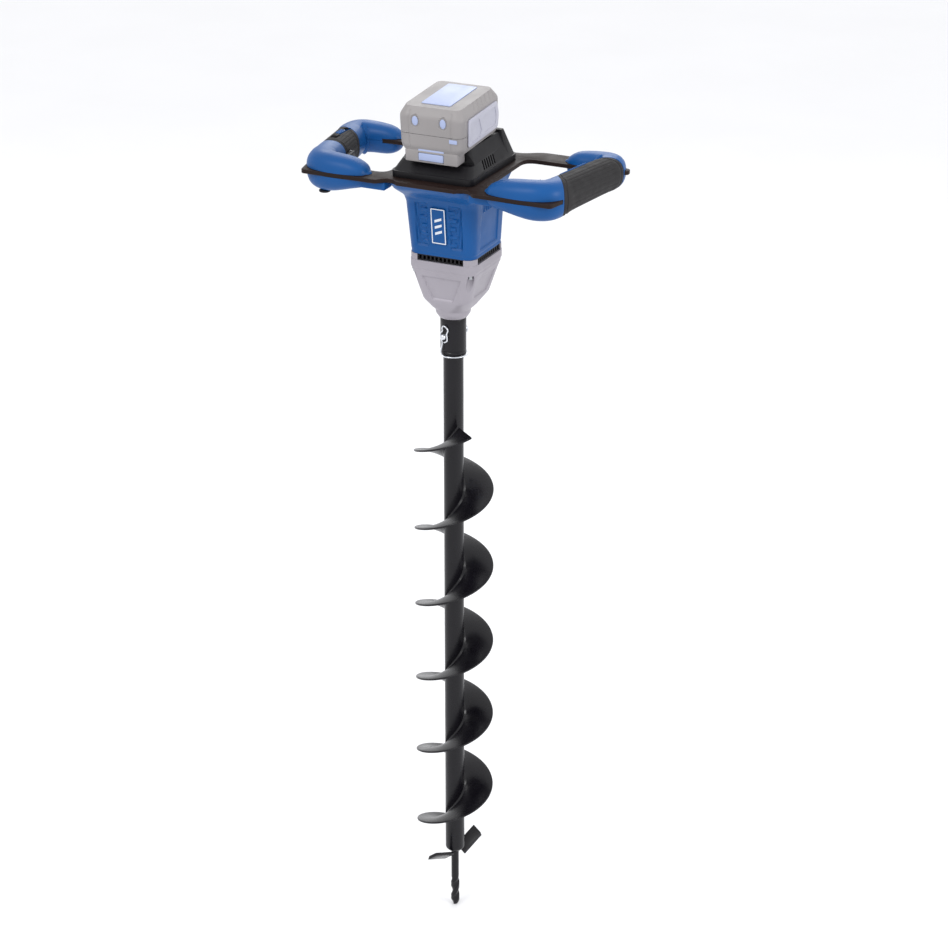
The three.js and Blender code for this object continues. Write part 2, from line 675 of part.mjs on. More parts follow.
// Finger lever on the inner side of the left grip, on a vertical pin at its far end.
function trigger() {
  const outline = roundedOutline([
    [-141.6, -34, 2], [-133, -34, 3], [-129, -26, 4], [-132.5, -4, 4], [-133.5, 5, 3], [-141.6, 5, 3],
  ]);
  const [x, y] = TRIGGER_PIN;
  return slab(outline, 1007, 1029.5, 3).subtract(post(1.8, 1000, 1040, 10, x, y));
}

piece('trigger', trigger(), BLACK_PLASTIC);
piece('trigger_pin', post(1.5, 1006.5, 1030, 10, ...TRIGGER_PIN), STEEL);
piece('switch_body', box(-162.5, -151, -22, 8, 1011, 1020.4), BLACK_PLASTIC);
piece('lock_off_button', box(-166, -158, 3.2, 12.8, 1037.5, 1045.5), BLACK_PLASTIC);
piece('speed_slider', box(-168, -161, 19, 33, 1038.6, 1044.6), BLUE);

// ---------------------------------------------------------------- battery mount
const tilt = (body) => body.rotate([BATTERY_TILT / DEG, 0, 0]).translate([0, 0, RAIL_Z]);

function batteryMount() {
  const skirt = roundedBlock(53, -60, 70, 9, PLATE_HIGH + GAP, 1034);
  const slope = towerOf([
    { z: 1033, hx: 52, hy: 62, r: 8, y: 3 },
    { z: 1046, hx: 46, hy: 50, r: 7, y: 6 },
    { z: 1063, hx: 38, hy: 45, r: 6, y: 10 },
  ]);
  const rearStop = towerOf([
    { z: 1033, hx: 51, hy: 11, r: 4, y: 56.5 },
    { z: 1066, hx: 42, hy: 3.4, r: 3, y: 51.4 },
  ]);
  let body = skirt.add(slope).add(rearStop);
  body = body.subtract(tilt(box(-60, 60, -90, PACK_BACK + 0.8, PACK_LOW - 0.6, 60)));
  body = body.subtract(tilt(box(-30, 30, -90, PACK_BACK + 0.8, -12, 20)));
  body = body.subtract(tilt(box(-60, 60, -90, -37, -14, 20)));
  const rail = box(-20, 20, -34, PACK_BACK + 2, -13, -6).add(box(-24, 24, -34, PACK_BACK + 2, -7, -1));
  return body.add(tilt(rail)).subtract(post(8, 1020, 1044, 12));
}

piece('battery_mount', batteryMount(), BLACK_PLASTIC);
piece('terminal_block', tilt(box(-14, 14, 18, 42, -0.6, 2.2)), BLACK_PLASTIC);

// ---------------------------------------------------------------- battery
// The case outside between two heights, with its corners cut back.
function packOutside(low, high) {
  const profile = [
    { z: PACK_LOW, hx: PACK_HX - 3, cut: 3 },
    { z: 9, hx: PACK_HX - 0.5, cut: 0.5 },
    { z: 44, hx: PACK_HX, cut: 0 },
    { z: PACK_HIGH, hx: PACK_HX - 6, cut: 7 },
  ];
  const middle = (PACK_FRONT + PACK_BACK) / 2;
  const half = (PACK_BACK - PACK_FRONT) / 2;
  const rows = profile.map(({ z, hx, cut }) => ({ z, hx, hy: half - cut, r: 9, y: middle }));
  return towerOf(rows, 3).intersect(box(-60, 60, -90, 90, low, high));
}

function packInside() {
  const middle = (PACK_FRONT + PACK_BACK) / 2;
  const half = (PACK_BACK - PACK_FRONT) / 2 - 2.2;
  return towerOf([
    { z: PACK_LOW + 2, hx: 34.4, hy: half - 0.6, r: 2, y: middle },
    { z: 46, hx: 34.4, hy: half, r: 2, y: middle },
  ], 1);
}

function packLower() {
  let body = packOutside(PACK_LOW, PACK_SPLIT).subtract(packInside());
  body = body.add(roundedBlock(34, PACK_FRONT + 1.5, -38, 4, -11, PACK_LOW + 1));
  for (const side of [-1, 1]) {
    const [a, b, c] = [21, 24.7, 29].map((v) => v * side);
    body = body.add(box(Math.min(b, c), Math.max(b, c), -39, 44, -11, PACK_LOW + 1));
    body = body.add(box(Math.min(a, b), Math.max(a, b), -39, 44, -11, -7.4));
  }
  body = body.subtract(box(-RELEASE_HX - 0.5, RELEASE_HX + 0.5, PACK_FRONT - 1, PACK_FRONT + 9, -8.5, 1.5));
  return body.subtract(box(-38, 38, -20, 20, 7.4, 40).subtract(box(-36.4, 36.4, -30, 30, 0, 50)));
}

function cellBlock() {
  let block = null;
  for (let layer = 0; layer < 2; layer++) {
    for (let k = -2; k <= 2; k++) {
      const geometry = new THREE.CylinderGeometry(CELL_R, CELL_R, 65, 10).rotateZ(Math.PI / 2);
      const cell = solid(geometry.translate(0, k * CELL_PITCH - 5, 15.5 + layer * CELL_PITCH));
      block = block ? block.add(cell) : cell;
    }
  }
  for (const side of [-1, 1]) {
    const x = side * 32.5;
    block = block.add(box(x - 0.6, x + 0.6, -46, 36, 11, 38));
  }
  return block;
}

const sidePanel = (side) => {
  const outline = roundedOutline([[-44, 9, 4], [36, 9, 4], [40, 24, 4], [36, 42, 5], [-42, 42, 5]]);
  const [x0, x1] = side > 0 ? [PACK_HX + 0.3, PACK_HX + 1.1] : [-PACK_HX - 1.1, -PACK_HX - 0.3];
  const geometry = new THREE.ExtrudeGeometry(outline, { depth: x1 - x0, bevelEnabled: false, curveSegments: 2 });
  geometry.rotateX(Math.PI / 2).rotateZ(Math.PI / 2);
  return solid(geometry.translate(x0, 0, 0));
};

piece('battery_case_lower', tilt(packLower()), PACK_GREY);
piece('battery_case_upper', tilt(packOutside(PACK_SPLIT + GAP, PACK_HIGH).subtract(packInside())), PACK_GREY);
piece('battery_cells', tilt(cellBlock()), PALE_BLUE);
piece('battery_label', tilt(roundedBlock(19, -42, 32, 2, PACK_HIGH + 0.3, PACK_HIGH + 0.9)), PALE_BLUE);
piece('battery_side_panel_left', tilt(sidePanel(-1)), PALE_BLUE);
piece('battery_side_panel_right', tilt(sidePanel(1)), PALE_BLUE);
piece('release_button', tilt(box(-RELEASE_HX, RELEASE_HX, PACK_FRONT + 0.4, PACK_FRONT + 4.4, -8, 1)), PALE_BLUE);

export default part;
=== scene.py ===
"""Cordless earth auger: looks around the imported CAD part. Lengths in the tables are millimetres."""
import contextlib
import json
import math

import bmesh
import bpy
import numpy as np
from mathutils import Matrix, Vector


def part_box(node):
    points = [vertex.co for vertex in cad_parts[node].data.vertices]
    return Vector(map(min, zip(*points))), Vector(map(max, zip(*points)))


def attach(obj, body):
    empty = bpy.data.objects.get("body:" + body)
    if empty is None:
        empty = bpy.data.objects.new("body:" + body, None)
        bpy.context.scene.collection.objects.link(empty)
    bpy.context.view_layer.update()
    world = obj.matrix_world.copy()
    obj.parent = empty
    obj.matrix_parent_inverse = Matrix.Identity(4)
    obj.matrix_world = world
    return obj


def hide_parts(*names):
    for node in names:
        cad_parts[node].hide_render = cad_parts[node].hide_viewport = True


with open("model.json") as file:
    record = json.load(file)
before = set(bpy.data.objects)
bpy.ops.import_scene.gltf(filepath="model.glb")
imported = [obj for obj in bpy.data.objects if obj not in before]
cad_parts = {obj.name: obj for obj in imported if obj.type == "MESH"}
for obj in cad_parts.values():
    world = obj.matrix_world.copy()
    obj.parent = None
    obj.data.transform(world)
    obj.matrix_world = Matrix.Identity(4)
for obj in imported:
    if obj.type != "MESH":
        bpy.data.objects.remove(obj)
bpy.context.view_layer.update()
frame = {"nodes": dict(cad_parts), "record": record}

MM = 0.001
GAP = 0.3


def span(node):
    """Lowest and highest corner of a CAD node, in millimetres."""
    low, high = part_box(node)
    return np.array(low) / MM, np.array(high) / MM


# ------------------------------------------------------------------ stage
CAMERA_AT = (1.3271, -2.7371, 1.9656)
CAMERA_TILT = 23.721
CAMERA_TURN = 25.392
CAMERA_LENS = 100.99


def add_camera():
    data = bpy.data.cameras.new("camera")
    data.lens = CAMERA_LENS
    data.sensor_width = 36
    camera = linked("camera", data)
    camera.location = CAMERA_AT
    camera.rotation_euler = (math.radians(90 - CAMERA_TILT), 0, math.radians(CAMERA_TURN))
    bpy.context.scene.camera = camera


def add_light(name, at, aim, size, power):
    data = bpy.data.lights.new(name, "AREA")
    data.shape = "DISK"
    data.size = size
    data.energy = power
    light = linked(name, data)
    light.location = at
    light.rotation_euler = (Vector(aim) - Vector(at)).to_track_quat("-Z", "Y").to_euler()


def add_stage():
    bm = bmesh.new()
    bmesh.ops.create_circle(bm, cap_ends=True, segments=96, radius=14)
    data = bpy.data.meshes.new("floor")
    bm.to_mesh(data)
    bm.free()
    floor = linked("floor", data)
    floor.location.z = -0.0005
    floor.data.materials.append(finish("floor_paint", (0.86, 0.86, 0.87), 0.9, blotch=3, shift=0.01))
    world = bpy.data.worlds.new("studio")
    bpy.context.scene.world = world
    world.use_nodes = True
    sky = world.node_tree.nodes["Background"]
    sky.inputs["Color"].default_value = (0.98, 0.985, 1.0, 1)
    sky.inputs["Strength"].default_value = 1.1
    bpy.context.scene.view_settings.view_transform = "Standard"
    add_light("key", (-0.8, -2.2, 3.4), (0, 0, 0.8), 1.4, 34)
    add_light("side", (2.6, -0.2, 1.9), (0, 0, 1.0), 1.0, 20)
    add_light("rim", (-0.9, 2.4, 2.2), (0, 0, 0.9), 1.6, 14)


# ------------------------------------------------------------------ materials
def finish(name, color, rough, metal=0.0, blotch=18, shift=0.06, grain=0, depth=0.0, wear=None,
           rough_shift=0.06, coat=0.0, stretch=(1, 1, 1), spec=0.5):
    """One procedural finish. blotch and grain are noise scales per metre, depth is the grain's height in metres."""
    mat = bpy.data.materials.new(name)
    mat.use_nodes = True
    tree = mat.node_tree
    make, link = tree.nodes.new, tree.links.new
    shader = tree.nodes["Principled BSDF"]
    shader.inputs["Metallic"].default_value = metal
    shader.inputs["Coat Weight"].default_value = coat
    shader.inputs["Coat Roughness"].default_value = 0.12
    shader.inputs["Specular IOR Level"].default_value = spec
    place = make("ShaderNodeTexCoord")
    scaled = make("ShaderNodeMapping")
    scaled.inputs["Scale"].default_value = stretch
    link(place.outputs["Object"], scaled.inputs["Vector"])

    def noise(scale, detail):
        node = make("ShaderNodeTexNoise")
        node.inputs["Scale"].default_value = scale
        node.inputs["Detail"].default_value = detail
        link(scaled.outputs["Vector"], node.inputs["Vector"])
        return node.outputs["Fac"]

    def ranged(value, low, high):
        node = make("ShaderNodeMapRange")
        node.inputs["From Min"].default_value = 0.3
        node.inputs["From Max"].default_value = 0.7
        node.inputs["To Min"].default_value = low
        node.inputs["To Max"].default_value = high
        link(value, node.inputs["Value"])
        return node.outputs["Result"]

    def mixed(factor, first, second):
        node = make("ShaderNodeMix")
        node.data_type = "RGBA"
        link(factor, node.inputs["Factor"])
        for socket, value in ((node.inputs[6], first), (node.inputs[7], second)):
            if isinstance(value, tuple):
                socket.default_value = value
            else:
                link(value, socket)
        return node.outputs[2]

    dark = tuple(c * (1 - shift) for c in color) + (1,)
    light = tuple(min(c * (1 + shift), 1) for c in color) + (1,)
    tone = mixed(ranged(noise(blotch, 4), 0, 1), dark, light)
    roughness = ranged(noise(blotch * 3, 5), rough - rough_shift, rough + rough_shift)
    if wear:
        worn, amount, width = wear
        bevel = make("ShaderNodeBevel")
        bevel.samples = 4
        bevel.inputs["Radius"].default_value = width * MM
        flat = make("ShaderNodeNewGeometry")
        dot = make("ShaderNodeVectorMath")
        dot.operation = "DOT_PRODUCT"
        link(bevel.outputs["Normal"], dot.inputs[0])
        link(flat.outputs["Normal"], dot.inputs[1])
        edge = make("ShaderNodeMapRange")
        edge.inputs["From Min"].default_value = 0.985
        edge.inputs["From Max"].default_value = 0.86
        link(dot.outputs["Value"], edge.inputs["Value"])
        broken = make("ShaderNodeMath")
        broken.operation = "MULTIPLY"
        link(edge.outputs["Result"], broken.inputs[0])
        link(ranged(noise(260, 6), 0, amount), broken.inputs[1])
        tone = mixed(broken.outputs["Value"], tone, tuple(worn) + (1,))
    link(tone, shader.inputs["Base Color"])
    link(roughness, shader.inputs["Roughness"])
    if grain:
        bump = make("ShaderNodeBump")
        bump.inputs["Strength"].default_value = 0.6
        bump.inputs["Distance"].default_value = depth
        link(noise(grain, 3), bump.inputs["Height"])
        link(bump.outputs["Normal"], shader.inputs["Normal"])
    return mat


def make_finishes():
    return {
        "blue_plastic": finish("blue_plastic", (0.003, 0.07, 0.245), 0.4, shift=0.07, grain=1500, depth=4e-5,
                               wear=((0.03, 0.13, 0.42), 0.5, 0.8), spec=0.22),
        "black_plastic": finish("black_plastic", (0.006, 0.0055, 0.007), 0.45, shift=0.15, grain=1300, depth=6e-5,
                                wear=((0.035, 0.034, 0.037), 0.6, 0.8), spec=0.25),
        "rubber_grip": finish("rubber_grip", (0.014, 0.013, 0.014), 0.72, shift=0.18, grain=2200, depth=1.2e-4,
                              blotch=30, spec=0.35),
        "frame_paint": finish("frame_paint", (0.014, 0.0065, 0.005), 0.55, shift=0.16, grain=900, depth=5e-5,
                              wear=((0.09, 0.055, 0.045), 0.7, 0.6), spec=0.18),
        "cast_alloy": finish("cast_alloy", (0.31, 0.29, 0.325), 0.46, metal=0.25, shift=0.07, grain=700, depth=1e-4,
                             wear=((0.5, 0.48, 0.52), 0.6, 0.9)),
        "black_steel": finish("black_steel", (0.0035, 0.003, 0.005), 0.27, shift=0.2, grain=260,
                              depth=1.2e-4, wear=((0.05, 0.05, 0.06), 0.4, 0.6), spec=0.3),
        "zinc": finish("zinc", (0.66, 0.68, 0.72), 0.26, metal=0.9, shift=0.07, grain=600, depth=3e-5),
        "steel": finish("steel", (0.36, 0.37, 0.39), 0.34, metal=0.95, shift=0.1, grain=900, depth=3e-5),
        "copper_winding": finish("copper_winding", (0.5, 0.2, 0.08), 0.4, metal=0.85, shift=0.15, grain=900,
                                 depth=2e-4, stretch=(1, 1, 0.1)),
        "board_green": finish("board_green", (0.02, 0.13, 0.05), 0.5, shift=0.2, blotch=120, grain=900, depth=5e-5),
        "battery_grey": finish("battery_grey", (0.26, 0.245, 0.245), 0.5, shift=0.05, grain=1300, depth=5e-5,
                               wear=((0.44, 0.42, 0.42), 0.5, 0.9)),
        "pale_blue": finish("pale_blue", (0.34, 0.4, 0.6), 0.42, shift=0.04, grain=1500, depth=3e-5),
        "panel_white": finish("panel_white", (0.42, 0.42, 0.49), 0.42, shift=0.04, grain=1200, depth=3e-5),
        "cell_can": finish("cell_can", (0.35, 0.42, 0.55), 0.35, metal=0.6, shift=0.1, grain=300, depth=5e-5),
        "badge_white": finish("badge_white", (0.66, 0.69, 0.74), 0.4, shift=0.03, grain=1500, depth=2e-5),
    }


# ------------------------------------------------------------------ mesh helpers
def smooth(data, angle=32):
    data.shade_smooth()
    data.set_sharp_from_angle(angle=math.radians(angle))


@contextlib.contextmanager
def edited(data):
    """A mesh opened for editing, and written back at the end."""
    bm = bmesh.new()
    bm.from_mesh(data)
    yield bm
    bm.to_mesh(data)
    bm.free()


def linked(name, data):
    piece = bpy.data.objects.new(name, data)
    bpy.context.scene.collection.objects.link(piece)
    return piece


def mesh_piece(name, points, faces, angle=32):
    """A mesh object from millimetre points, with its faces turned outwards."""
    data = bpy.data.meshes.new(name)
    data.from_pydata([tuple(p) for p in np.asarray(points, float) * MM], [], faces)
    with edited(data) as bm:
        bmesh.ops.remove_doubles(bm, verts=bm.verts, dist=1e-6)
        bmesh.ops.recalc_face_normals(bm, faces=bm.faces)
    smooth(data, angle)
    return linked(name, data)


def strip_faces(rows, count, closed):
    """Quads between rows of count points each."""
    last = count if closed else count - 1
    return [
        (k * count + i, k * count + (i + 1) % count, (k + 1) * count + (i + 1) % count, (k + 1) * count + i)
        for k in range(rows - 1)
        for i in range(last)
    ]


def loft(name, rings, angle=32):
    """A closed body through closed rings of equal point count, capped at both ends."""
    count = len(rings[0])
    faces = strip_faces(len(rings), count, True)
    faces.append(tuple(range(count)))
    faces.append(tuple(range((len(rings) - 1) * count, len(rings) * count)))
    return mesh_piece(name, np.concatenate(rings), faces, angle)


def around_circle(count):
    """Evenly spaced angles of a full turn."""
    return np.arange(count) * 2 * math.pi / count


def lathe(name, profile, sides=64, angle=32, center=(0, 0)):
    """A closed body of revolution about Z from a closed [radius, height] profile that stays off the axis."""
    turns = around_circle(sides)
    points = [(center[0] + r * math.cos(a), center[1] + r * math.sin(a), z) for r, z in profile for a in turns]
    faces = strip_faces(len(profile), sides, True)
    end = (len(profile) - 1) * sides
    faces += [(end + i, end + (i + 1) % sides, (i + 1) % sides, i) for i in range(sides)]
    return mesh_piece(name, points, faces, angle)


def baked(piece):
    """Applies a piece's modifiers to its mesh."""
    graph = bpy.context.evaluated_depsgraph_get()
    graph.update()
    data = bpy.data.meshes.new_from_object(piece.evaluated_get(graph))
    piece.modifiers.clear()
    old = piece.data
    piece.data = data
    data.name = piece.name
    if isinstance(old, bpy.types.Mesh):
        bpy.data.meshes.remove(old)
    return piece


def cut(piece, *tools, operation="DIFFERENCE"):
    """Boolean with other objects, which are used up."""
    for tool in tools:
        mod = piece.modifiers.new("cut", "BOOLEAN")
        mod.operation = operation
        mod.solver = "MANIFOLD"
        mod.object = tool
    baked(piece)
    for tool in tools:
        bpy.data.objects.remove(tool)
    return piece


def beveled(piece, width, segments=3, angle=30):
    mod = piece.modifiers.new("bevel", "BEVEL")
    mod.width = width * MM
    mod.segments = segments
    mod.limit_method = "ANGLE"
    mod.angle_limit = math.radians(angle)
    mod.use_clamp_overlap = True
    baked(piece)
    smooth(piece.data, 40)
    return piece


def block(name, x0, x1, y0, y1, z0, z1):
    points = [(x, y, z) for z in (z0, z1) for x, y in ((x0, y0), (x1, y0), (x1, y1), (x0, y1))]
    faces = [(0, 1, 2, 3), (4, 5, 6, 7), (0, 1, 5, 4), (1, 2, 6, 5), (2, 3, 7, 6), (3, 0, 4, 7)]
    return mesh_piece(name, points, faces)


def rounded(points, steps=8):
    """A closed outline with each corner (x, y, radius) rounded."""
    out = []
    count = len(points)
    for i, (x, y, r) in enumerate(points):
        at = np.array([x, y], float)
        before = np.array(points[i - 1][:2], float) - at
        after = np.array(points[(i + 1) % count][:2], float) - at
        start = at + before / np.linalg.norm(before) * r
        end = at + after / np.linalg.norm(after) * r
        if r <= 0:
            out.append(at)
            continue
        for t in np.linspace(0, 1, steps + 1):
            out.append((1 - t) ** 2 * start + 2 * t * (1 - t) * at + t * t * end)
    return np.array(out)


def prism(name, outline, z0, z1, angle=32):
    rings = [np.column_stack([outline, np.full(len(outline), z)]) for z in (z0, z1)]
    return loft(name, rings, angle)


def rounded_box(x0, x1, y0, y1, r):
    return rounded([(x0, y0, r), (x1, y0, r), (x1, y1, r), (x0, y1, r)])


def joined(first, *others):
    """Joins meshes into the first one."""
    bm = bmesh.new()
    for piece in (first, *others):
        bm.from_mesh(piece.data)
    bm.to_mesh(first.data)
    bm.free()
    for piece in others:
        bpy.data.objects.remove(piece)
    return first


def copy_of(node, name):
    """A copy of a CAD node's mesh with its flat faces merged, to be worked on."""
    data = frame["nodes"][node].data.copy()
    data.materials.clear()
    with edited(data) as bm:
        bmesh.ops.remove_doubles(bm, verts=bm.verts, dist=1e-6)
        bmesh.ops.dissolve_limit(bm, angle_limit=math.radians(1), verts=bm.verts, edges=bm.edges)
    return linked(name, data)


def moved(piece, at, *turns):
    """Turns a piece about the origin, last turn first, and then shifts it. Turns are (degrees, axis)."""
    matrix = Matrix.Translation(Vector(at) * MM)
    for degrees, axis in turns:
        matrix = matrix @ Matrix.Rotation(math.radians(degrees), 4, axis)
    piece.data.transform(matrix)
    return piece


def place(piece, body, slot, *nodes, look=None):
    """Gives a piece its finish, its body and the nodes that it stands for."""
    piece.data.materials.clear()
    piece.data.materials.append(FINISH[look or slot])
    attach(piece, body)
    if nodes:
        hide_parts(*nodes)
    return piece


# ------------------------------------------------------------------ towers: casings with rounded corners
SIDE_STEPS = 44
CORNER_STEPS = 10


def tower_ring(hx, hy, r, y, z):
    """Points, outward normals, side number and place along the side. Side 0 faces +Y, 1 -X, 2 -Y, 3 +X."""
    points, normals, sides, along = [], [], [], []
    corners = [(1, 1), (-1, 1), (-1, -1), (1, -1)]
    for k, (sx, sy) in enumerate(corners):
        cx, cy = sx * (hx - r), y + sy * (hy - r)
        for i in range(CORNER_STEPS):
            a = math.radians(90 * (k + i / CORNER_STEPS))
            points.append((cx + r * math.cos(a), cy + r * math.sin(a), z))
            normals.append((math.cos(a), math.sin(a), 0))
            sides.append(-1)
            along.append(0)
        a = math.radians(90 * (k + 1))
        nx, ny = corners[(k + 1) % 4]
        dx, dy = nx * (hx - r), y + ny * (hy - r)
        for i in range(SIDE_STEPS):
            t = i / SIDE_STEPS
            px, py = cx + (dx - cx) * t + r * math.cos(a), cy + (dy - cy) * t + r * math.sin(a)
            points.append((px, py, z))
            normals.append((math.cos(a), math.sin(a), 0))
            sides.append(k)
            along.append(px if k % 2 == 0 else py)
    return np.array(points), np.array(normals), np.array(sides), np.array(along)


def tower_rings(rows, step=1.5, soften=1.5, relief=None):
    """Rings between (z, hx, hy, corner, y) rows, with the bends softened and an optional relief in millimetres."""
    table = np.array(rows, float)
    low, high = table[0, 0], table[-1, 0]
    heights = np.linspace(low, high, max(2, round((high - low) / step) + 1))
    rings = []
    for z in heights:
        reach = min(soften, z - low, high - z)
        near = [z - reach, z, z + reach]
        hx, hy, r, y = (np.mean(np.interp(near, table[:, 0], table[:, k])) for k in range(1, 5))
        points, normals, sides, along = tower_ring(hx, hy, r, y, z)
        if relief:
            points = points + normals * relief(sides, along, z)[:, None]
        rings.append(points)
    return rings


def band(value, low, high, edge=0.7):
    """1 between low and high, 0 outside, with soft edges."""
    value = np.asarray(value, float)
    rise = np.clip((value - low) / edge + 0.5, 0, 1)
    fall = np.clip((high - value) / edge + 0.5, 0, 1)
    both = np.minimum(rise, fall)
    return both * both * (3 - 2 * both)


FRONT, BACK, LEFT, RIGHT = 2, 0, 1, 3


# ------------------------------------------------------------------ bit
PITCH = 106
FLIGHT_START = 85
FLIGHT_END = 5 * 360 + 297
FLIGHT_Z0 = 78.6
BIT_TURN = 25
TUBE_R = 12.5


def turned_z(points, degrees):
    a = math.radians(degrees)
    c, s = math.cos(a), math.sin(a)
    points = np.asarray(points, float)
    return np.column_stack([
        points[:, 0] * c - points[:, 1] * s, points[:, 0] * s + points[:, 1] * c, points[:, 2]
    ])


def helical(name, section, start, end, steps_per_turn=72):
    """Sweeps a closed (radius, height) section along the spiral."""
    steps = round((end - start) / 360 * steps_per_turn)
    rings = []
    for k in range(steps + 1):
        angle = start + (end - start) * k / steps
        z = FLIGHT_Z0 + PITCH * angle / 360
        a = math.radians(angle + BIT_TURN)
        rings.append(np.array([(r * math.cos(a), r * math.sin(a), z + dz) for r, dz in section]))
    return loft(name, rings, 45)


def add_bit():
    half = 1.5
    flight_r = (span("auger_flight")[1][0] - span("auger_flight")[0][0]) / 2
    section = [(TUBE_R - 0.2, -half), (TUBE_R - 0.2, half)]
    section += [(r, half - 0.12 * (r - TUBE_R) / (flight_r - TUBE_R)) for r in (18, 26, 34, 42, flight_r - 1.6)]
    for k in range(5):
        a = math.radians(75 - 37.5 * k)
        section.append((flight_r - 1.35 + 1.35 * math.cos(a), 1.35 * math.sin(a)))
    section += [(r, -half + 0.12 * (r - TUBE_R) / (flight_r - TUBE_R)) for r in (flight_r - 1.6, 42, 34, 26, 18)]
    place(helical("spiral_flight", section, FLIGHT_START, FLIGHT_END), "spindle", "black_steel", "auger_flight")
    bead = [(TUBE_R - 0.4, -half - 2.4), (TUBE_R - 0.4, half + 2.4), (TUBE_R + 0.9, half + 1.1),
            (TUBE_R + 2.3, half), (TUBE_R + 2.3, -half), (TUBE_R + 0.9, -half - 1.1)]
    weld = helical("flight_weld", bead, FLIGHT_START + 2, FLIGHT_END - 2, 180)
    rng = np.random.default_rng(4)
    for vertex in weld.data.vertices:
        out = Vector((vertex.co.x, vertex.co.y, 0)).normalized()
        vertex.co += out * float(rng.uniform(0, 0.25)) * MM
    place(weld, "spindle", "black_steel")

    low, high = span("bit_tube")
    wall, foot = 2, 90
    profile = [(0.4, low[2]), (5.2, low[2]), (6.2, low[2] + 0.6)]
    profile += [(6.2 + (TUBE_R - 6.2) * math.sin(t * math.pi / 2), low[2] + 0.6 + (foot - low[2]) * t)
                for t in np.linspace(0.15, 1, 8)]
    profile += [(TUBE_R, z) for z in np.linspace(foot + 4, high[2] - 0.6, 60)]
    profile += [(TUBE_R - 0.6, high[2]), (TUBE_R - wall, high[2]), (TUBE_R - wall, foot + 6), (0.4, foot + 5)]
    tube = lathe("bit_shaft", profile, 72)
    place(tube, "spindle", "black_steel", "bit_tube")

    for k in (1, 2):
        blade = beveled(copy_of(f"cutting_blade_{k}", f"cutter_{k}"), 0.6, 3, 20)
        place(blade, "spindle", "black_steel", f"cutting_blade_{k}")
    place(pilot_point(), "spindle", "black_steel", "pilot_point")


def pilot_point():
    """Round shank that turns into a twisted flat point with a chisel end."""
    wide, flat, shank, top = 11, 7.4, 5, span("pilot_point")[1][2]
    t = around_circle(48)
    rings = []
    for z in np.concatenate([np.linspace(0, 44, 60), np.linspace(46, top, 16)]):
        blend = np.clip((z - 35) / 8, 0, 1)
        blend = blend * blend * (3 - 2 * blend)
        nose = np.clip(z / 5, 0, 1) ** 0.6
        a = (wide / 2 * (0.64 + 0.36 * nose)) * (1 - blend) + shank * blend
        b = (flat / 2 * (0.62 + 0.38 * nose)) * (1 - blend) + shank * blend
        power = 0.55 * (1 - blend) + blend
        turn = min(z, 40) * 180 / 20 - 90
        x = a * np.sign(np.cos(t)) * np.abs(np.cos(t)) ** power
        y = b * np.sign(np.sin(t)) * np.abs(np.sin(t)) ** power
        rings.append(turned_z(np.column_stack([x, y, np.full(len(t), z)]), turn + BIT_TURN))
    return loft("twisted_point", rings, 50)


# ------------------------------------------------------------------ coupling
PIN_TURN = 255


def add_coupling():
    low, high = span("drive_sleeve")
    r = (high[0] - low[0]) / 2
    bottom, top = low[2], high[2]
    step = bottom + 39.4
    profile = [(r - 1.5, bottom), (r - 0.5, bottom + 0.5), (r, bottom + 2), (r, bottom + 6), (r - 0.5, bottom + 6.6),
               (r - 0.5, bottom + 7.6), (r, bottom + 8.2), (r, top - 8), (r, top - 2), (r - 0.3, top - 1),
               (r - 1.1, top), (10.3, top), (10.3, step), (TUBE_R + 0.3, step), (TUBE_R + 0.3, bottom)]
    sleeve = lathe("coupling_sleeve", profile, 72)
    pin_z = (span("hitch_pin")[0][2] + span("hitch_pin")[1][2]) / 2
    hole = turned_x(lathe("hole", [(0.05, -30), (3.9, -30), (3.9, 30), (0.05, 30)], 32), PIN_TURN, pin_z)
    cut(sleeve, hole)
    smooth(sleeve.data, 32)
    place(sleeve, "spindle", "black_steel", "drive_sleeve")

    profile = [(0.02, -23), (3, -23), (4.4, -22.8), (5.2, -22.2), (5.5, -21.4), (5.5, -19.8), (5.2, -19.2),
               (4.6, -19), (3.5, -19), (3.5, 19.8), (3.2, 20.6), (2.5, 21.3), (1.4, 21.7), (0.02, 21.8)]
    pin = turned_x(lathe("pin", profile, 40), PIN_TURN, pin_z)
    pin.name = "cross_pin"
    place(pin, "spindle", "zinc", "hitch_pin")

    reach, wire = r + 1.9, 0.9
    eye = [(0.4, -7.2), (4.8, -4.6), (5.2, 0), (4.6, 4.6), (6.2, 9.4), (3.6, 13.4), (0, 14.2), (-2.2, 11.4),
           (-1.8, 7.6), (-5.2, 3.6), (-5, -1.6), (-2.2, -6.6), (-2.8, -12), (-4.6, -18), (-4, -22.6)]
    points = [(math.sqrt(reach * reach - y * y) + 0.6, y, z) for y, z in eye]
    for turn in range(0, 163, 18):
        a = math.radians(turn)
        points.append((reach * math.cos(a), reach * math.sin(a), -25.4))
    points += [(-reach - 1.6, 0.8, -17), (-reach - 2, 0, -6.1)]
    points = turned_z(points, PIN_TURN)
    points[:, 2] += pin_z
    place(wire_piece("wire_clip", points, wire), "spindle", "zinc", "lock_clip")


def turned_x(piece, degrees, z):
    """Lays a piece made along Z down along a level direction at height z."""
    return moved(piece, (0, 0, z), (degrees, "Z"), (90, "Y"))


def through(points, steps):
    """A smooth line through points, with the given steps between each two."""
    p = np.asarray(points, float)
    padded = np.vstack([2 * p[0] - p[1], p, 2 * p[-1] - p[-2]])
    out = []
    for k in range(len(p) - 1):
        a, b, c, d = padded[k:k + 4]
        for t in np.arange(steps) / steps:
            out.append(0.5 * (2 * b + (c - a) * t + (2 * a - 5 * b + 4 * c - d) * t * t
                              + (3 * b - a - 3 * c + d) * t ** 3))
    out.append(p[-1])
    return np.array(out)


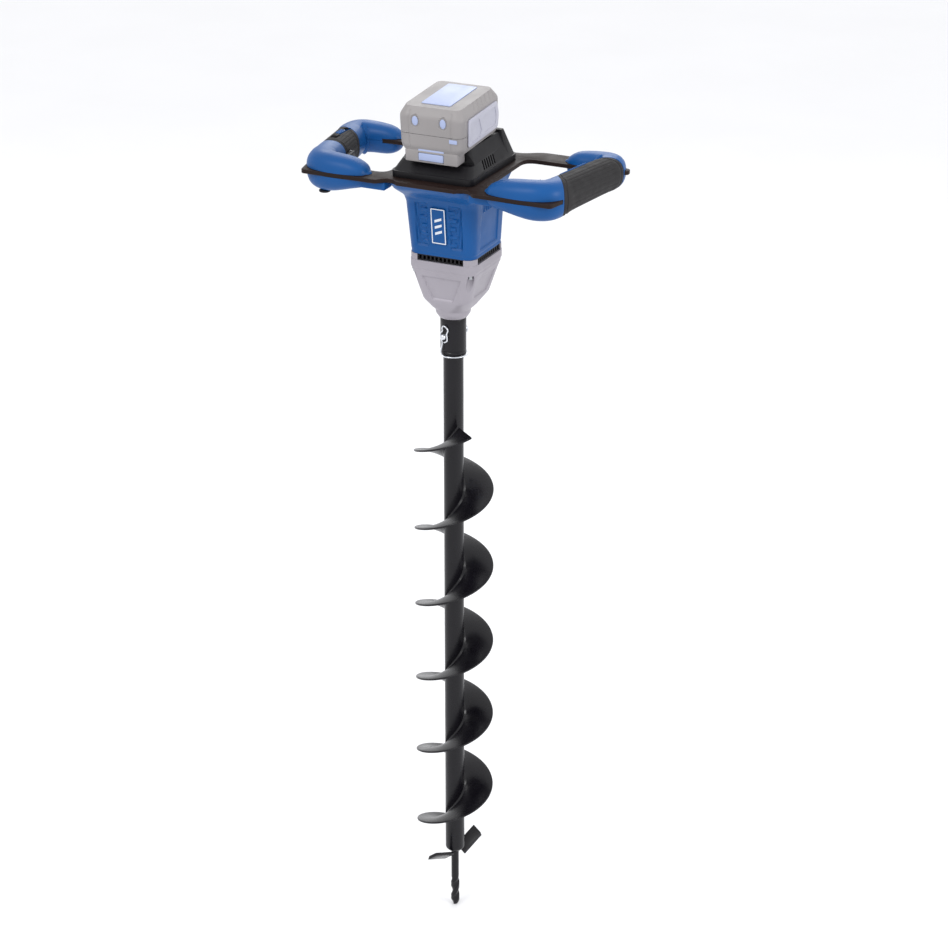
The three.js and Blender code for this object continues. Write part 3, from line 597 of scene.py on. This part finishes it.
def wire_piece(name, points, radius, sides=16):
    line = through(points, 8)
    tangents = np.gradient(line, axis=0)
    tangents /= np.linalg.norm(tangents, axis=1)[:, None]
    normal = np.cross(tangents[0], (0.3, 0.5, 0.8))
    rings = []
    for k, (at, along) in enumerate(zip(line, tangents)):
        normal = normal - along * (normal @ along)
        normal = normal / np.linalg.norm(normal)
        other = np.cross(along, normal)
        shrink = 0.55 if k in (0, len(line) - 1) else 1
        turns = around_circle(sides)
        rings.append(at + radius * shrink * (np.outer(np.cos(turns), normal) + np.outer(np.sin(turns), other)))
    return loft(name, rings, 50)


# ------------------------------------------------------------------ gearbox
FLANGE_CORNER = 13
RECESS_FOOT = 868


def flange():
    """Half sizes, middle and top of the gearbox flange."""
    low, high = span("gearbox_housing")
    return (high[0] - low[0]) / 2, (high[1] - low[1]) / 2, (high[1] + low[1]) / 2, high[2]


def add_gearbox():
    hx, hy, mid, top = flange()
    nose = span("gearbox_housing")[0][2]

    def relief(sides, along, z):
        front = (sides == FRONT) | (sides == BACK)
        half = 13 + (z - RECESS_FOOT) * 0.42
        pocket = band(along, -half, half, 1.3) * band(z, RECESS_FOOT + 1, RECESS_FOOT + 30, 1.6) * front
        center = mid - 2
        half_side = 16 + (z - RECESS_FOOT) * 0.4
        height = band(z, RECESS_FOOT + 3, RECESS_FOOT + 28, 1.6)
        side = band(along, center - half_side, center + half_side, 1.3) * height * ~front
        step = band(z, 905, 907.6, 0.8) * 0.9
        return -2.0 * pocket - 1.5 * side * (sides >= 0) - step

    outer = tower_rings([
        (nose, 17.5, 17.5, 17.4, 0), (nose + 5.7, 21.5, 21.5, 21.4, 0), (nose + 10.7, 21.5, 21.5, 21.4, 0),
        (nose + 12.7, 24, 25, 19, 2.5), (866, 31.5, 38, 15, 9), (900, hx - 2.8, hy - 2, FLANGE_CORNER, mid),
        (907, hx, hy, FLANGE_CORNER, mid), (top, hx, hy, FLANGE_CORNER, mid),
    ], 1.3, 1.2, relief)
    inner = tower_rings([
        (nose, 11, 11, 10.9, 0), (849.7, 14, 14, 13.9, 0), (850, 17, 17, 16.9, 0), (860, 20, 20, 14, 1),
        (880, 28, 31, 14, 5), (892, 33, 37.7, 14, 7.2), (top, hx - 4, hy - 4, 10, mid),
    ], 4, 0)
    casing = open_ended(loft("gearbox_casing", inner[:1] + outer + inner[::-1], 30))
    tools = []
    for k in range(1, 5):
        low, high = span(f"gearbox_screw_{k}")
        at = (low[:2] + high[:2]) / 2
        tools.append(lathe("recess", [(0.05, 840), (4.8, 840), (4.8, 905.6), (0.05, 905.6)], 32, center=at))
    cut(casing, *tools)
    posts = [corner_post(sx, sy, hx - 0.4, hy - 0.4, mid, top) for sx in (-1, 1) for sy in (-1, 1)]
    joined(casing, *posts)
    smooth(casing.data, 30)
    place(casing, "head", "cast_alloy", "gearbox_housing")
    place(seat_ring("nose_seal", 11.2, 16.8, nose - 0.3, nose + 0.5), "head", "rubber_grip")


def open_ended(piece):
    """Takes away the two end caps of a loft whose first and last rings coincide."""
    with edited(piece.data) as bm:
        caps = [face for face in bm.faces if len(face.verts) > 4]
        bmesh.ops.delete(bm, geom=caps, context="FACES_ONLY")
        bmesh.ops.recalc_face_normals(bm, faces=bm.faces)
    return piece


def corner_post(sx, sy, hx, hy, mid, top):
    """The part of the flange that stands up at a corner between the vents."""
    points = []
    cx, cy = sx * (hx - FLANGE_CORNER), mid + sy * (hy - FLANGE_CORNER)
    for radius in (FLANGE_CORNER, FLANGE_CORNER - 3):
        for i in range(13):
            a = math.radians(90 * i / 12)
            points.append((cx + sx * radius * math.cos(a), cy + sy * radius * math.sin(a)))
    outline = points[:13] + points[13:][::-1]
    return prism("post", np.array(outline), top - 1, span("vent_ring")[1][2] + 0.1, 30)


def seat_ring(name, inner, outer, low, high):
    profile = [(inner, low), (outer - 0.6, low), (outer, low + 0.6), (outer, high - 0.4), (outer - 0.4, high),
               (inner, high)]
    return lathe(name, profile, 64)


# ------------------------------------------------------------------ vents
def add_vents():
    low, high = span("vent_ring")
    hx, hy, mid = (high[0] - low[0]) / 2, (high[1] - low[1]) / 2, (high[1] + low[1]) / 2
    bottom, top = low[2], high[2]

    def around(less, corner):
        return tower_rings([(z, hx - less, hy - less, corner, mid) for z in (bottom, top)], 8, 0)

    outer, inner = around(1.2, 11.5), around(4.4, 9)
    ring = open_ended(loft("vent_band", inner[:1] + outer + inner[::-1], 30))
    pitch, half, rim = 5.4, 1.75, 1.3
    tools = []
    for at in (k * pitch for k in range(-5, 6)):
        tools.append(block("slot", at - half, at + half, mid - 80, mid + 80, bottom + rim, top - rim))
        tools.append(block("slot", -80, 80, mid + at - half, mid + at + half, bottom + rim, top - rim))
    cut(ring, *tools)
    smooth(ring.data, 30)
    place(ring, "head", "black_plastic", "vent_ring")


# ------------------------------------------------------------------ body
BODY_BEND = 991
BODY_BEND_Y = 7


def add_body():
    low, high = span("motor_housing")
    hx, hy, mid, _ = flange()
    bottom, top = low[2], high[2]

    def relief(sides, along, z):
        front = sides == FRONT
        back = sides == BACK
        flank = (sides == LEFT) | (sides == RIGHT)
        depth = np.zeros(len(sides))
        # stepped ribs in a bed at both sides of the badge
        face = front | back
        bed = band(np.abs(along), 14.6, 30.5, 1.2) * band(z, 938, 993, 1.4)
        depth -= 1.8 * bed * face
        for row in range(5):
            middle = 943.5 + row * 10.4
            reach = 8.6 + 1.6 * (row % 2)
            slant = z - 0.12 * np.abs(along)
            bar = band(np.abs(along), 14, 14 + reach, 1.1) * band(slant, middle - 5.2, middle - 0.4, 1.2)
            depth += 1.9 * bar * face
        spine = band(np.abs(along), 26.6, 28.6, 1.1) * band(z, 940, 991, 1.6)
        depth += 1.6 * spine * face
        # a shallow bed for the badge
        bed = band(along, -11.5, 11.5, 1.2) * band(z, 940, 991, 1.4)
        depth -= 0.5 * bed * front
        # flank panel with short fins below the shoulder
        center = mid - 2
        panel = band(along, center - 24, center + 24, 2.2) * band(z, 935, 1000, 2.4)
        depth -= 1.5 * panel * flank
        for k in range(6):
            at = center - 15 + 6 * k
            depth += 1.4 * band(along, at - 1, at + 1, 1) * band(z, 980, 999, 2) * flank
        depth -= 0.5 * band(z, bottom + 2.4, bottom + 4.2, 0.9)
        return depth

    outer = tower_rings([
        (bottom, hx - 1, hy - 1, FLANGE_CORNER, mid), (BODY_BEND, 47, 48.5, 14, BODY_BEND_Y),
        (1000, 48.5, 51, 14, 5.5),
        (1013, 52, 66, 14, 0), (top, high[0] - 0.2, high[1] - 0.2, 14, 0),
    ], 1.2, 2.2, relief)
    inner = tower_rings([
        (bottom, hx - 4, hy - 4, 10, mid), (BODY_BEND, 44, 45.2, 11, BODY_BEND_Y), (1012, 46, 48, 11, 5),
    ], 6, 0)
    body = loft("body_shell", inner[::-1] + outer, 30)
    place(body, "head", "blue_plastic", "motor_housing")
    add_badge()


def add_badge():
    """A plain badge: a raised white frame round a blue field with three slanting bars."""
    low, high = span("badge_plate")
    half_x, half_z = (high[0] - low[0]) / 2, (high[2] - low[2]) / 2
    middle = (low + high) / 2
    lean = math.degrees(math.atan2(high[1] - low[1] - 1, high[2] - low[2]))
    seat = middle, (lean, "X"), (90, "X")

    field = beveled(prism("badge_field", rounded_box(-half_x, half_x, -half_z, half_z, 1.5), -0.6, 0.35), 0.3)
    place(moved(field, *seat), "head", "blue_plastic", "badge_plate")
    rim = prism("badge_frame", rounded_box(-half_x + 0.5, half_x - 0.5, -half_z + 0.5, half_z - 0.5, 1.2), 0.3, 0.75)
    hole = prism("hole", rounded_box(-half_x + 1.7, half_x - 1.7, -half_z + 1.7, half_z - 1.7, 0.8), -1, 2)
    cut(rim, hole)
    bars = []
    for k in (-1, 0, 1):
        z = k * 8
        points = [(-4.6, z - 3.4, 0.3), (4.6, z + 0.2, 0.3), (4.6, z + 3.4, 0.3), (-4.6, z - 0.2, 0.3)]
        bars.append(prism("bar", rounded(points, 3), 0.3, 0.75))
    joined(rim, *bars)
    beveled(rim, 0.15, 2)
    place(moved(rim, *seat), "head", "pale_blue", look="badge_white")


# ------------------------------------------------------------------ plate
PLATE_EDGE = 0.7


def plate_solid(name, z0, z1, grow=0.0):
    """The plate between two heights: with rounded edges, or grown sideways with sharp ones."""
    half = [
        (38, -76, 2), (44, -70, 3), (54, -70, 3), (63, -80, 4), (162.5, -80, 5), (167, -58, 4),
        (168.4, -33, 3), (183.4, 61, 3), (188.2, 66, 2), (188.2, 76, 2), (193, 80, 2), (192, 88, 3),
        (183, 91, 3), (176, 99, 6), (160, 105.6, 10), (70, 106, 11), (50, 92, 11),
    ]
    outer = half + [(-x, y, r) for x, y, r in half[::-1]]
    hole = [(64, -48, 14), (140, -48, 6), (150, -38, 6), (166, 73, 14), (62, 73, 16)]
    edge = 0 if grow else PLATE_EDGE
    data = bpy.data.curves.new(name, "CURVE")
    data.dimensions = "2D"
    data.fill_mode = "BOTH"
    data.extrude = ((z1 - z0) / 2 - edge) * MM
    data.bevel_depth = edge * MM
    data.bevel_resolution = 2
    data.offset = (grow - edge) * MM
    for points in (rounded(outer), rounded(hole), rounded([(-x, y, r) for x, y, r in hole])):
        spline = data.splines.new("POLY")
        spline.points.add(len(points) - 1)
        for target, (x, y) in zip(spline.points, points):
            target.co = (x * MM, y * MM, 0, 1)
        spline.use_cyclic_u = True
    curve = linked(name, data)
    graph = bpy.context.evaluated_depsgraph_get()
    graph.update()
    mesh = bpy.data.meshes.new_from_object(curve.evaluated_get(graph))
    bpy.data.objects.remove(curve)
    mesh.transform(Matrix.Translation((0, 0, (z0 + z1) / 2 * MM)))
    with edited(mesh) as bm:
        bmesh.ops.remove_doubles(bm, verts=bm.verts, dist=2e-6)
        bmesh.ops.recalc_face_normals(bm, faces=bm.faces)
    mesh.materials.clear()
    smooth(mesh, 30)
    return linked(name, mesh)


def add_plate():
    low, high = span("frame_plate")
    place(plate_solid("handle_plate", low[2], high[2]), "head", "frame_paint", "frame_plate")


# ------------------------------------------------------------------ handles
SKIN = 2.6
# centre x, centre y, half width, height above and depth below the plate's middle
HANDLE = [
    (74, -61, 6, 5, 9), (82, -61, 14, 13, 14), (100, -60.5, 18.5, 19, 18), (128, -60, 19.5, 21.5, 24),
    (145, -54, 20, 21.5, 25), (151.5, -40, 19.8, 21, 24), (153, -30, 19.5, 20.7, 22.5),
    (156, -12, 19.25, 20.3, 21.6), (160.5, 15, 19.2, 19.85, 21.1), (164.8, 41, 19.2, 19.4, 20.7),
    (167.6, 56, 19.2, 19.15, 20.5), (170.5, 68, 18.9, 18.9, 20.3), (167, 83.5, 19.3, 18.8, 20.6),
    (151, 88.5, 18, 17.8, 20), (128, 88, 15, 15.5, 19), (116, 87, 11, 10, 14), (111, 86.5, 5, 4.5, 6),
]
# the stretch with rubber: near and far edge in plan, each from the inner to the outer side
RIGHT_RUBBER = (((125, 4.5), (185, -76.5)), ((125, 62), (205, 78)))
LEFT_RUBBER = (((125, -12.5), (205, -12.5)), ((125, 29.5), (205, 66.2)))
HALF_STEPS = 44
SLEEVE_SIDES = 192


def middle_height():
    low, high = span("frame_plate")
    return (low[2] + high[2]) / 2


def handle_rows(stations, steps=8):
    """Smoothly spaced stations with their level side direction."""
    line = through(stations, steps)
    heading = np.gradient(line[:, :2], axis=0)
    heading /= np.linalg.norm(heading, axis=1)[:, None]
    return line, np.column_stack([heading[:, 1], -heading[:, 0]])


def soft(values, power=0.82):
    return np.sign(values) * np.abs(values) ** power


def half_shell(name, stations, upper, mirror, open_start=False, open_end=False, wall=3.0):
    """The upper or lower half of a handle: a curved sheet thickened inwards."""
    line, side = handle_rows(stations)
    z_mid = middle_height() + (0.15 if upper else -0.15)
    rows = [(at[:2], out, *at[2:5]) for at, out in zip(line, side)]
    if not open_start:
        rows = tip_rows(rows[0], rows[1]) + rows
    if not open_end:
        rows = rows + tip_rows(rows[-1], rows[-2])[::-1]
    t = np.linspace(0, math.pi, HALF_STEPS)
    points = []
    for at, out, a, up, down in rows:
        across = a * soft(np.cos(t))
        rise = (up if upper else -down) * soft(np.sin(t))
        for s, h in zip(across, rise):
            x = at[0] + out[0] * s
            points.append((-x if mirror else x, at[1] + out[1] * s, z_mid + h))
    faces = strip_faces(len(rows), HALF_STEPS, False)
    piece = mesh_piece(name, points, faces, 40)
    outwards(piece, upper)
    mod = piece.modifiers.new("wall", "SOLIDIFY")
    mod.thickness = wall * MM
    mod.offset = -1
    baked(piece)
    return piece


def outwards(piece, upper):
    """Turns a half shell's faces away from its middle."""
    top = max(piece.data.polygons, key=lambda f: f.center.z if upper else -f.center.z)
    if (top.normal.z > 0) != upper:
        piece.data.flip_normals()


def tip_rows(end, inward):
    """Rows that close a handle's end into a rounded tip."""
    away = np.array(end[0]) - np.array(inward[0])
    away = away / np.linalg.norm(away)
    rows = []
    for angle in (84, 66, 46, 24):
        a = math.radians(angle)
        scale = math.cos(a)
        at = np.array(end[0]) + away * 3.0 * math.sin(a)
        rows.append((at, end[1], end[2] * scale, end[3] * scale, end[4] * scale))
    return rows


def edge_distance(edge, x, y):
    """Distance in plan from a rubber edge, growing with Y."""
    (x0, y0), (x1, y1) = edge
    length = math.hypot(x1 - x0, y1 - y0)
    return ((y - y0) * (x1 - x0) - (x - x0) * (y1 - y0)) / length


def grip_sleeve(name, rubber, mirror):
    """Rubber sleeve with rolled, slanting ends and shallow lengthwise grooves."""
    t = around_circle(SLEEVE_SIDES)
    groove = 0.45 * np.clip(np.cos(t * 24) * 3 - 1.6, 0, 1)
    line, side = handle_rows(HANDLE, 16)
    table = np.column_stack([line, side])
    steps = np.linalg.norm(np.diff(line[:, :2], axis=0), axis=1)
    walked = np.concatenate([[0], np.cumsum(steps)])
    z_mid = middle_height()

    def outline(distance, extra, ribbed=0.0):
        x, y, a, up, down, out_x, out_y = (np.interp(distance, walked, table[:, k]) for k in range(7))
        across = (a + extra - groove * ribbed) * soft(np.cos(t))
        rise = (np.where(t < math.pi, up, -down) + np.where(t < math.pi, 1, -1) * (extra - groove * ribbed))
        height = z_mid + rise * np.abs(soft(np.sin(t)))
        return x + out_x * across, y + out_y * across, height

    rows = [np.array(outline(np.full(SLEEVE_SIDES, w), 0)) for w in walked]
    middle = int(np.argmin(np.abs(line[:, 1] - 10)))
    ends = []
    for edge, order in ((rubber[0], range(middle, 0, -1)), (rubber[1], range(middle, len(walked) - 1))):
        gap = np.array([edge_distance(edge, row[0], row[1]) for row in rows])
        at = np.full(SLEEVE_SIDES, np.nan)
        for k in order:
            j = k - 1 if order.step < 0 else k + 1
            crossed = np.isnan(at) & (gap[k] * gap[j] <= 0)
            share = gap[k] / (gap[k] - gap[j] + 1e-12)
            at = np.where(crossed, walked[k] + (walked[j] - walked[k]) * share, at)
        ends.append(at)
    start, stop = ends[0] + GAP, ends[1] - GAP
    rim = ((0, -0.9), (0.25, -0.35), (0.9, 0), (4.4, 0), (5, -0.6), (6, -0.6), (6.6, 0))
    rings = [outline(start, 0.3 - SKIN)]
    rings += [outline(start + distance, extra) for distance, extra in rim]
    for share in np.linspace(0, 1, 44):
        inward = min(share, 1 - share) * 90
        rings.append(outline(start + 8 + (stop - start - 16) * share, 0, min(inward / 2.5, 1)))
    rings += [outline(stop - distance, extra) for distance, extra in rim[::-1]]
    rings += [outline(stop + (start - stop) * share, 0.3 - SKIN) for share in np.linspace(0, 1, 12)]
    sign = -1 if mirror else 1
    bodies = [np.column_stack([x * sign, y, z]) for x, y, z in rings]
    return open_ended(loft(name, bodies, 35))


def rubber_room(rubber, mirror):
    """The room that a sleeve takes out of the hard shells."""
    near, far = rubber
    outline = np.array([near[0], near[1], far[1], far[0]], float)
    if mirror:
        outline[:, 0] *= -1
    z = middle_height()
    return prism("room", outline, z - 50, z + 50)


def pockets():
    """Fresh cutters for the trigger, the lock button and the slider, on the left handle."""
    trigger = prism("pocket", rounded_box(-149.6, -118, -36.6, 6, 4), 1006, 1030.5)
    button = prism("pocket", rounded_box(-166.6, -157.4, 2.6, 13.4, 1.5), 1032, 1060)
    slide = prism("pocket", rounded_box(-168.6, -160.4, 17.6, 47.4, 1.5), 1034, 1060)
    return [trigger, button, slide]


def room_for_plate():
    low, high = span("frame_plate")
    return plate_solid("room", low[2] - GAP, high[2] + GAP, GAP)


def handle_stations(mirror):
    """The stations of one handle: the left one's near tip stops a little further from the body."""
    short = 6 if mirror else 0
    return [(x + short * (y < 0) * max(0, (128 - x) / 54), y, *rest) for x, y, *rest in HANDLE]


def add_handles():
    core = [(x, y, a - SKIN - GAP, up - SKIN - GAP, down - SKIN - GAP) for x, y, a, up, down in HANDLE[3:14]]
    for word, mirror, rubber in (("right", False, RIGHT_RUBBER), ("left", True, LEFT_RUBBER)):
        for upper in (True, False):
            level = "upper" if upper else "lower"
            shell = half_shell(f"{word}_shell_{level}", handle_stations(mirror), upper, mirror)
            inner = half_shell("core", core, upper, mirror, open_start=True, open_end=True, wall=2)
            cut(shell, rubber_room(rubber, mirror), room_for_plate(), *(pockets() if mirror else []))
            cut(inner, room_for_plate(), *(pockets() if mirror else []))
            parts = [inner] if upper else [inner, lower_beam(mirror)]
            joined(shell, *parts)
            finish_shell(shell, f"{word}_handle_{level}_shell")
        sleeve = grip_sleeve(f"{word}_rubber_grip", rubber, mirror)
        cut(sleeve, room_for_plate(), *(pockets() if mirror else []))
        smooth(sleeve.data, 35)
        place(sleeve, "head", "rubber_grip", f"{word}_grip_sleeve")
    add_grip_inlay()
    add_foot()


def lower_beam(mirror):
    """The lower shell's beam under the plate, up to the body."""
    side = -1 if mirror else 1
    top = span("frame_plate")[0][2] - GAP
    x0, x1 = sorted((side * 54.6, side * 94))
    return beveled(block("beam", x0, x1, -72, -52, 1011, top), 1.6, 3)


def finish_shell(piece, node):
    smooth(piece.data, 34)
    place(piece, "head", "blue_plastic", node)


def add_grip_inlay():
    """Slim coloured strip let into the inner top edge of the right grip."""
    outline = rounded_box(-1.6, 1.6, -27, 27, 1.5)
    strip = beveled(prism("right_grip_inlay", outline, -1.2, 0.5), 0.4)
    turn = -math.degrees(math.atan2(15, 90))
    moved(strip, (149.6, 12, middle_height() + 18.5), (turn, "Z"), (-38, "Y"))
    place(strip, "head", "blue_plastic")


def add_foot():
    low, high = span("left_foot_pad")
    at = (low[:2] + high[:2]) / 2
    r, bottom, top = (high[0] - low[0]) / 2, low[2], high[2]
    profile = [(0.05, bottom), (r - 2.4, bottom), (r - 1, bottom + 0.2), (r - 0.2, bottom + 0.8), (r, bottom + 1.5),
               (r, top), (0.05, top)]
    place(lathe("foot_pad", profile, 48, center=at), "head", "rubber_grip", "left_foot_pad")


# ------------------------------------------------------------------ controls
def add_trigger_well():
    """The dark back wall and rim of the trigger's pocket."""
    back = beveled(block("trigger_well", -150.8, -149.9, -38.5, 8.5, 1004, 1032.5), 0.2, 2)
    rim = prism("rim", rounded_box(-149.8, -138.5, -36.4, 5.7, 3.6), 1006.3, 1030.2)
    low, high = span("trigger")
    room = block("room", -160, -120, low[1] - 1.4, 7, low[2] - GAP, high[2] + GAP)
    cut(rim, room)
    joined(back, rim)
    smooth(back.data, 32)
    place(back, "head", "black_plastic")


def add_controls():
    add_trigger_well()
    trigger = beveled(copy_of("trigger", "trigger_lever_piece"), 1.6, 4, 25)
    place(trigger, "trigger_lever", "black_plastic", "trigger")
    button = ribbed("lock_off_button", "lock_button", 1.2, 5, 1.9, 1.5, (0.45, 0.35), 0.2)
    place(button, "lock_off", "black_plastic", "lock_off_button")
    slider = ribbed("speed_slider", "speed_slide", 1.0, 4, 3.4, 1.2, (0.5, 0.5), 0.25)
    place(slider, "slider", "blue_plastic", "speed_slider")


def ribbed(node, name, rounding, count, end, side, rib, edge):
    """A CAD button with rounded edges and ribs on top, end and side millimetres in from its edges."""
    piece = beveled(copy_of(node, name), rounding, 4)
    low, high = span(node)
    half, height = rib
    ribs = []
    for k in range(count):
        y = low[1] + end + k * (high[1] - low[1] - 2 * end) / (count - 1)
        bar = block("rib", low[0] + side, high[0] - side, y - half, y + half, high[2] - 0.3, high[2] + height)
        ribs.append(beveled(bar, edge, 2))
    return joined(piece, *ribs)


# ------------------------------------------------------------------ battery mount
BATTERY_TILT = 3.5
RAIL_Z = 1062


def tilted(piece):
    """Brings a piece from the pack's own axes into place."""
    return moved(piece, (0, 0, RAIL_Z), (BATTERY_TILT, "X"))


def add_mount():
    mount = copy_of("battery_mount", "battery_shoe")
    tools = []
    for side in (-1, 1):
        for k in range(6):
            slot = beveled(block("slot", -7, 7, -1.5, 1.5, -6, 6), 0.9, 2)
            tools.append(moved(slot, (side * 46.8, -17 + k * 5.8, 1040.4), (-side * 30, "Y"), (-14, "X")))
    cut(mount, *tools)
    beveled(mount, 0.9, 3, 24)
    place(mount, "head", "black_plastic", "battery_mount")


# ------------------------------------------------------------------ battery
def pack_size():
    """Half width, front and back of the battery, from the frame, in the pack's own tilted axes."""
    low, high = span("battery_case_lower")
    return (high[0] - low[0]) / 2, -60, 47


PACK_LOW, PACK_SPLIT, PACK_HIGH = 3, 24, 56


def pack_rings(z0, z1, relief=None):
    hx, front, back = pack_size()
    middle, half = (front + back) / 2, (back - front) / 2
    rows = [(PACK_LOW, hx - 3, half - 3, 9.5, middle), (9, hx - 0.5, half - 0.5, 10, middle),
            (44, hx, half, 10, middle), (46.5, hx - 0.6, half - 0.7, 10, middle),
            (PACK_HIGH, hx - 6, half - 7, 8, middle)]
    table = np.array(rows, float)
    inside = [row for row in rows if z0 < row[0] < z1]
    first = (z0, *(np.interp(z0, table[:, 0], table[:, k]) for k in range(1, 5)))
    last = (z1, *(np.interp(z1, table[:, 0], table[:, k]) for k in range(1, 5)))
    return tower_rings([first, *inside, last], 1.1, 1.3, relief)


def case_relief(sides, along, z):
    """Grooves and pockets of the battery case."""
    depth = np.zeros(len(sides))
    face = sides == FRONT
    flank = (sides == LEFT) | (sides == RIGHT)
    # teardrop pockets on the front
    for x in (-19, 17):
        drop = np.hypot((along - x) / 1.0, (z - 40) / 1.4) < 5.4
        depth -= 1.3 * drop * face
    # a recess for the side panel
    depth -= 0.8 * band(along, -46, 42, 1.5) * band(z, 8, 43, 1.5) * flank
    # upright grooves that divide the front
    for x in (-27, 27):
        depth -= 0.7 * band(along, x - 0.7, x + 0.7, 0.8) * band(z, 5, 52, 1) * (face | (sides == BACK))
    # slanting grooves in the chamfers beside the label
    for k in range(6):
        slant = along - 0.5 * (z - 50)
        depth -= 1.0 * band(slant, -21.3 + 10.5 * k, -18.7 + 10.5 * k, 1) * band(z, 46.5, 55.4, 1) * flank
    # grip ribs on the back
    for k in range(5):
        depth -= 0.8 * band(z, 30 + 3.4 * k, 31.6 + 3.4 * k, 0.8) * band(along, -22, 22, 1.5) * (sides == BACK)
    return depth


def inner_pack_rings(z0, z1):
    _, front, back = pack_size()
    middle, half = (front + back) / 2, (back - front) / 2
    return tower_rings([(z0, 34.4, half - 3, 2, middle), (z1, 34.4, half - 3, 2, middle)], 9, 0)


def add_battery():
    outer = pack_rings(PACK_LOW, PACK_SPLIT - 0.25, case_relief)
    inner = inner_pack_rings(PACK_LOW + 2, PACK_SPLIT - 0.25)
    lower = loft("pack_lower", outer + inner[::-1], 30)
    feet = rails()
    joined(lower, *feet)
    tilted(lower)
    smooth(lower.data, 30)
    place(lower, "battery", "battery_grey", "battery_case_lower")

    outer = pack_rings(PACK_SPLIT + 0.35, PACK_HIGH, case_relief)
    inner = inner_pack_rings(PACK_SPLIT + 0.35, 47)
    upper = loft("pack_upper", inner[::-1] + outer, 30)
    tilted(upper)
    smooth(upper.data, 30)
    place(upper, "battery", "battery_grey", "battery_case_upper")
    add_pack_trim()


def rails():
    """The dovetail feet and the latch block under the pack."""
    _, front, _ = pack_size()
    feet = [beveled(block("latch_block", -34, 34, front + 1.5, -38, -11, PACK_LOW + 1), 1.5)]
    pocket = block("pocket", -16.5, 16.5, front - 1, front + 9, -8.5, 1.5)
    cut(feet[0], pocket)
    for side in (-1, 1):
        inner, lip, outer = (side * v for v in (21, 24.7, 29))
        feet.append(beveled(block("foot", min(lip, outer), max(lip, outer), -39, 44, -11, PACK_LOW + 1), 0.5, 2))
        feet.append(beveled(block("foot", min(inner, lip), max(inner, lip), -39, 44, -11, -7.4), 0.4, 2))
    return feet


def add_pack_trim():
    hx, front, _ = pack_size()
    label = beveled(prism("pack_label", rounded_box(-19, 19, -42, 32, 2.5), PACK_HIGH - 0.2, PACK_HIGH + 0.9), 0.5)
    place(tilted(label), "battery", "pale_blue", "battery_label")
    for side, word in ((-1, "left"), (1, "right")):
        outline = rounded([(-44, 9, 4), (36, 9, 4), (40, 24, 4), (36, 42, 5), (-42, 42, 5)])
        panel = prism("panel", outline, -0.7, 0.9)
        windows = [
            prism("window", rounded([(-36, 13, 2), (-14, 13, 2), (-8, 20, 2), (-14, 36, 2), (-36, 36, 2)]), 0.2, 3),
            prism("window", rounded([(0, 14, 2), (30, 14, 2), (33, 24, 2), (30, 36, 2), (0, 36, 2), (-4, 25, 2)]),
                  0.2, 3),
        ]
        cut(panel, *windows)
        beveled(panel, 0.35, 2)
        panel.name = f"pack_panel_{word}"
        panel.data.transform(Matrix(((0, 0, side, 0), (1, 0, 0, 0), (0, 1, 0, 0), (0, 0, 0, 1))))
        moved(panel, (side * (hx - 0.2), 0, 0))
        if side > 0:
            panel.data.flip_normals()
        fix_normals(panel)
        place(tilted(panel), "battery", "pale_blue", f"battery_side_panel_{word}", look="panel_white")
    for k, x in enumerate((-19, 17)):
        lens = lathe("lens", [(0.05, -0.4), (3.1, -0.4), (3.3, 0.1), (2.6, 0.7), (1.2, 1.0), (0.05, 1.05)], 32)
        lens.data.transform(Matrix.Diagonal((1.2, 1.75, 1.1, 1)))
        moved(lens, (x, front + 0.9, 40), (90, "X"))
        lens.name = f"pack_stud_{k + 1}"
        place(tilted(lens), "battery", "pale_blue")
    gauge = beveled(prism("pack_gauge", rounded_box(-5, 5, -2.4, 2.4, 1), -0.3, 0.7), 0.3)
    moved(gauge, (30, front + 0.2, 20), (90, "X"))
    place(tilted(gauge), "battery", "pale_blue")
    latch = beveled(prism("pack_latch_frame", rounded_box(-16.5, 16.5, 1.8, 6.4, 1.2), -0.3, 0.7), 0.3)
    moved(latch, (0, front + 2.6, 0), (90, "X"))
    place(tilted(latch), "battery", "pale_blue")
    button = beveled(copy_of("release_button", "pack_release"), 0.9, 3)
    place(button, "battery_release", "pale_blue", "release_button")


def fix_normals(piece):
    with edited(piece.data) as bm:
        bmesh.ops.recalc_face_normals(bm, faces=bm.faces)


# ------------------------------------------------------------------ pieces that stay as CAD
def dress_frame():
    slots = {row["node"]: row["material_slot"] for row in frame["record"]["subparts"]}
    for name, node in frame["nodes"].items():
        node.data.materials.clear()
        node.data.materials.append(FINISH[slots[name]])
        smooth(node.data, 32)


FINISH = make_finishes()
add_camera()
add_stage()
dress_frame()
add_bit()
add_coupling()
add_gearbox()
add_vents()
add_body()
add_plate()
add_handles()
add_controls()
add_mount()
add_battery()
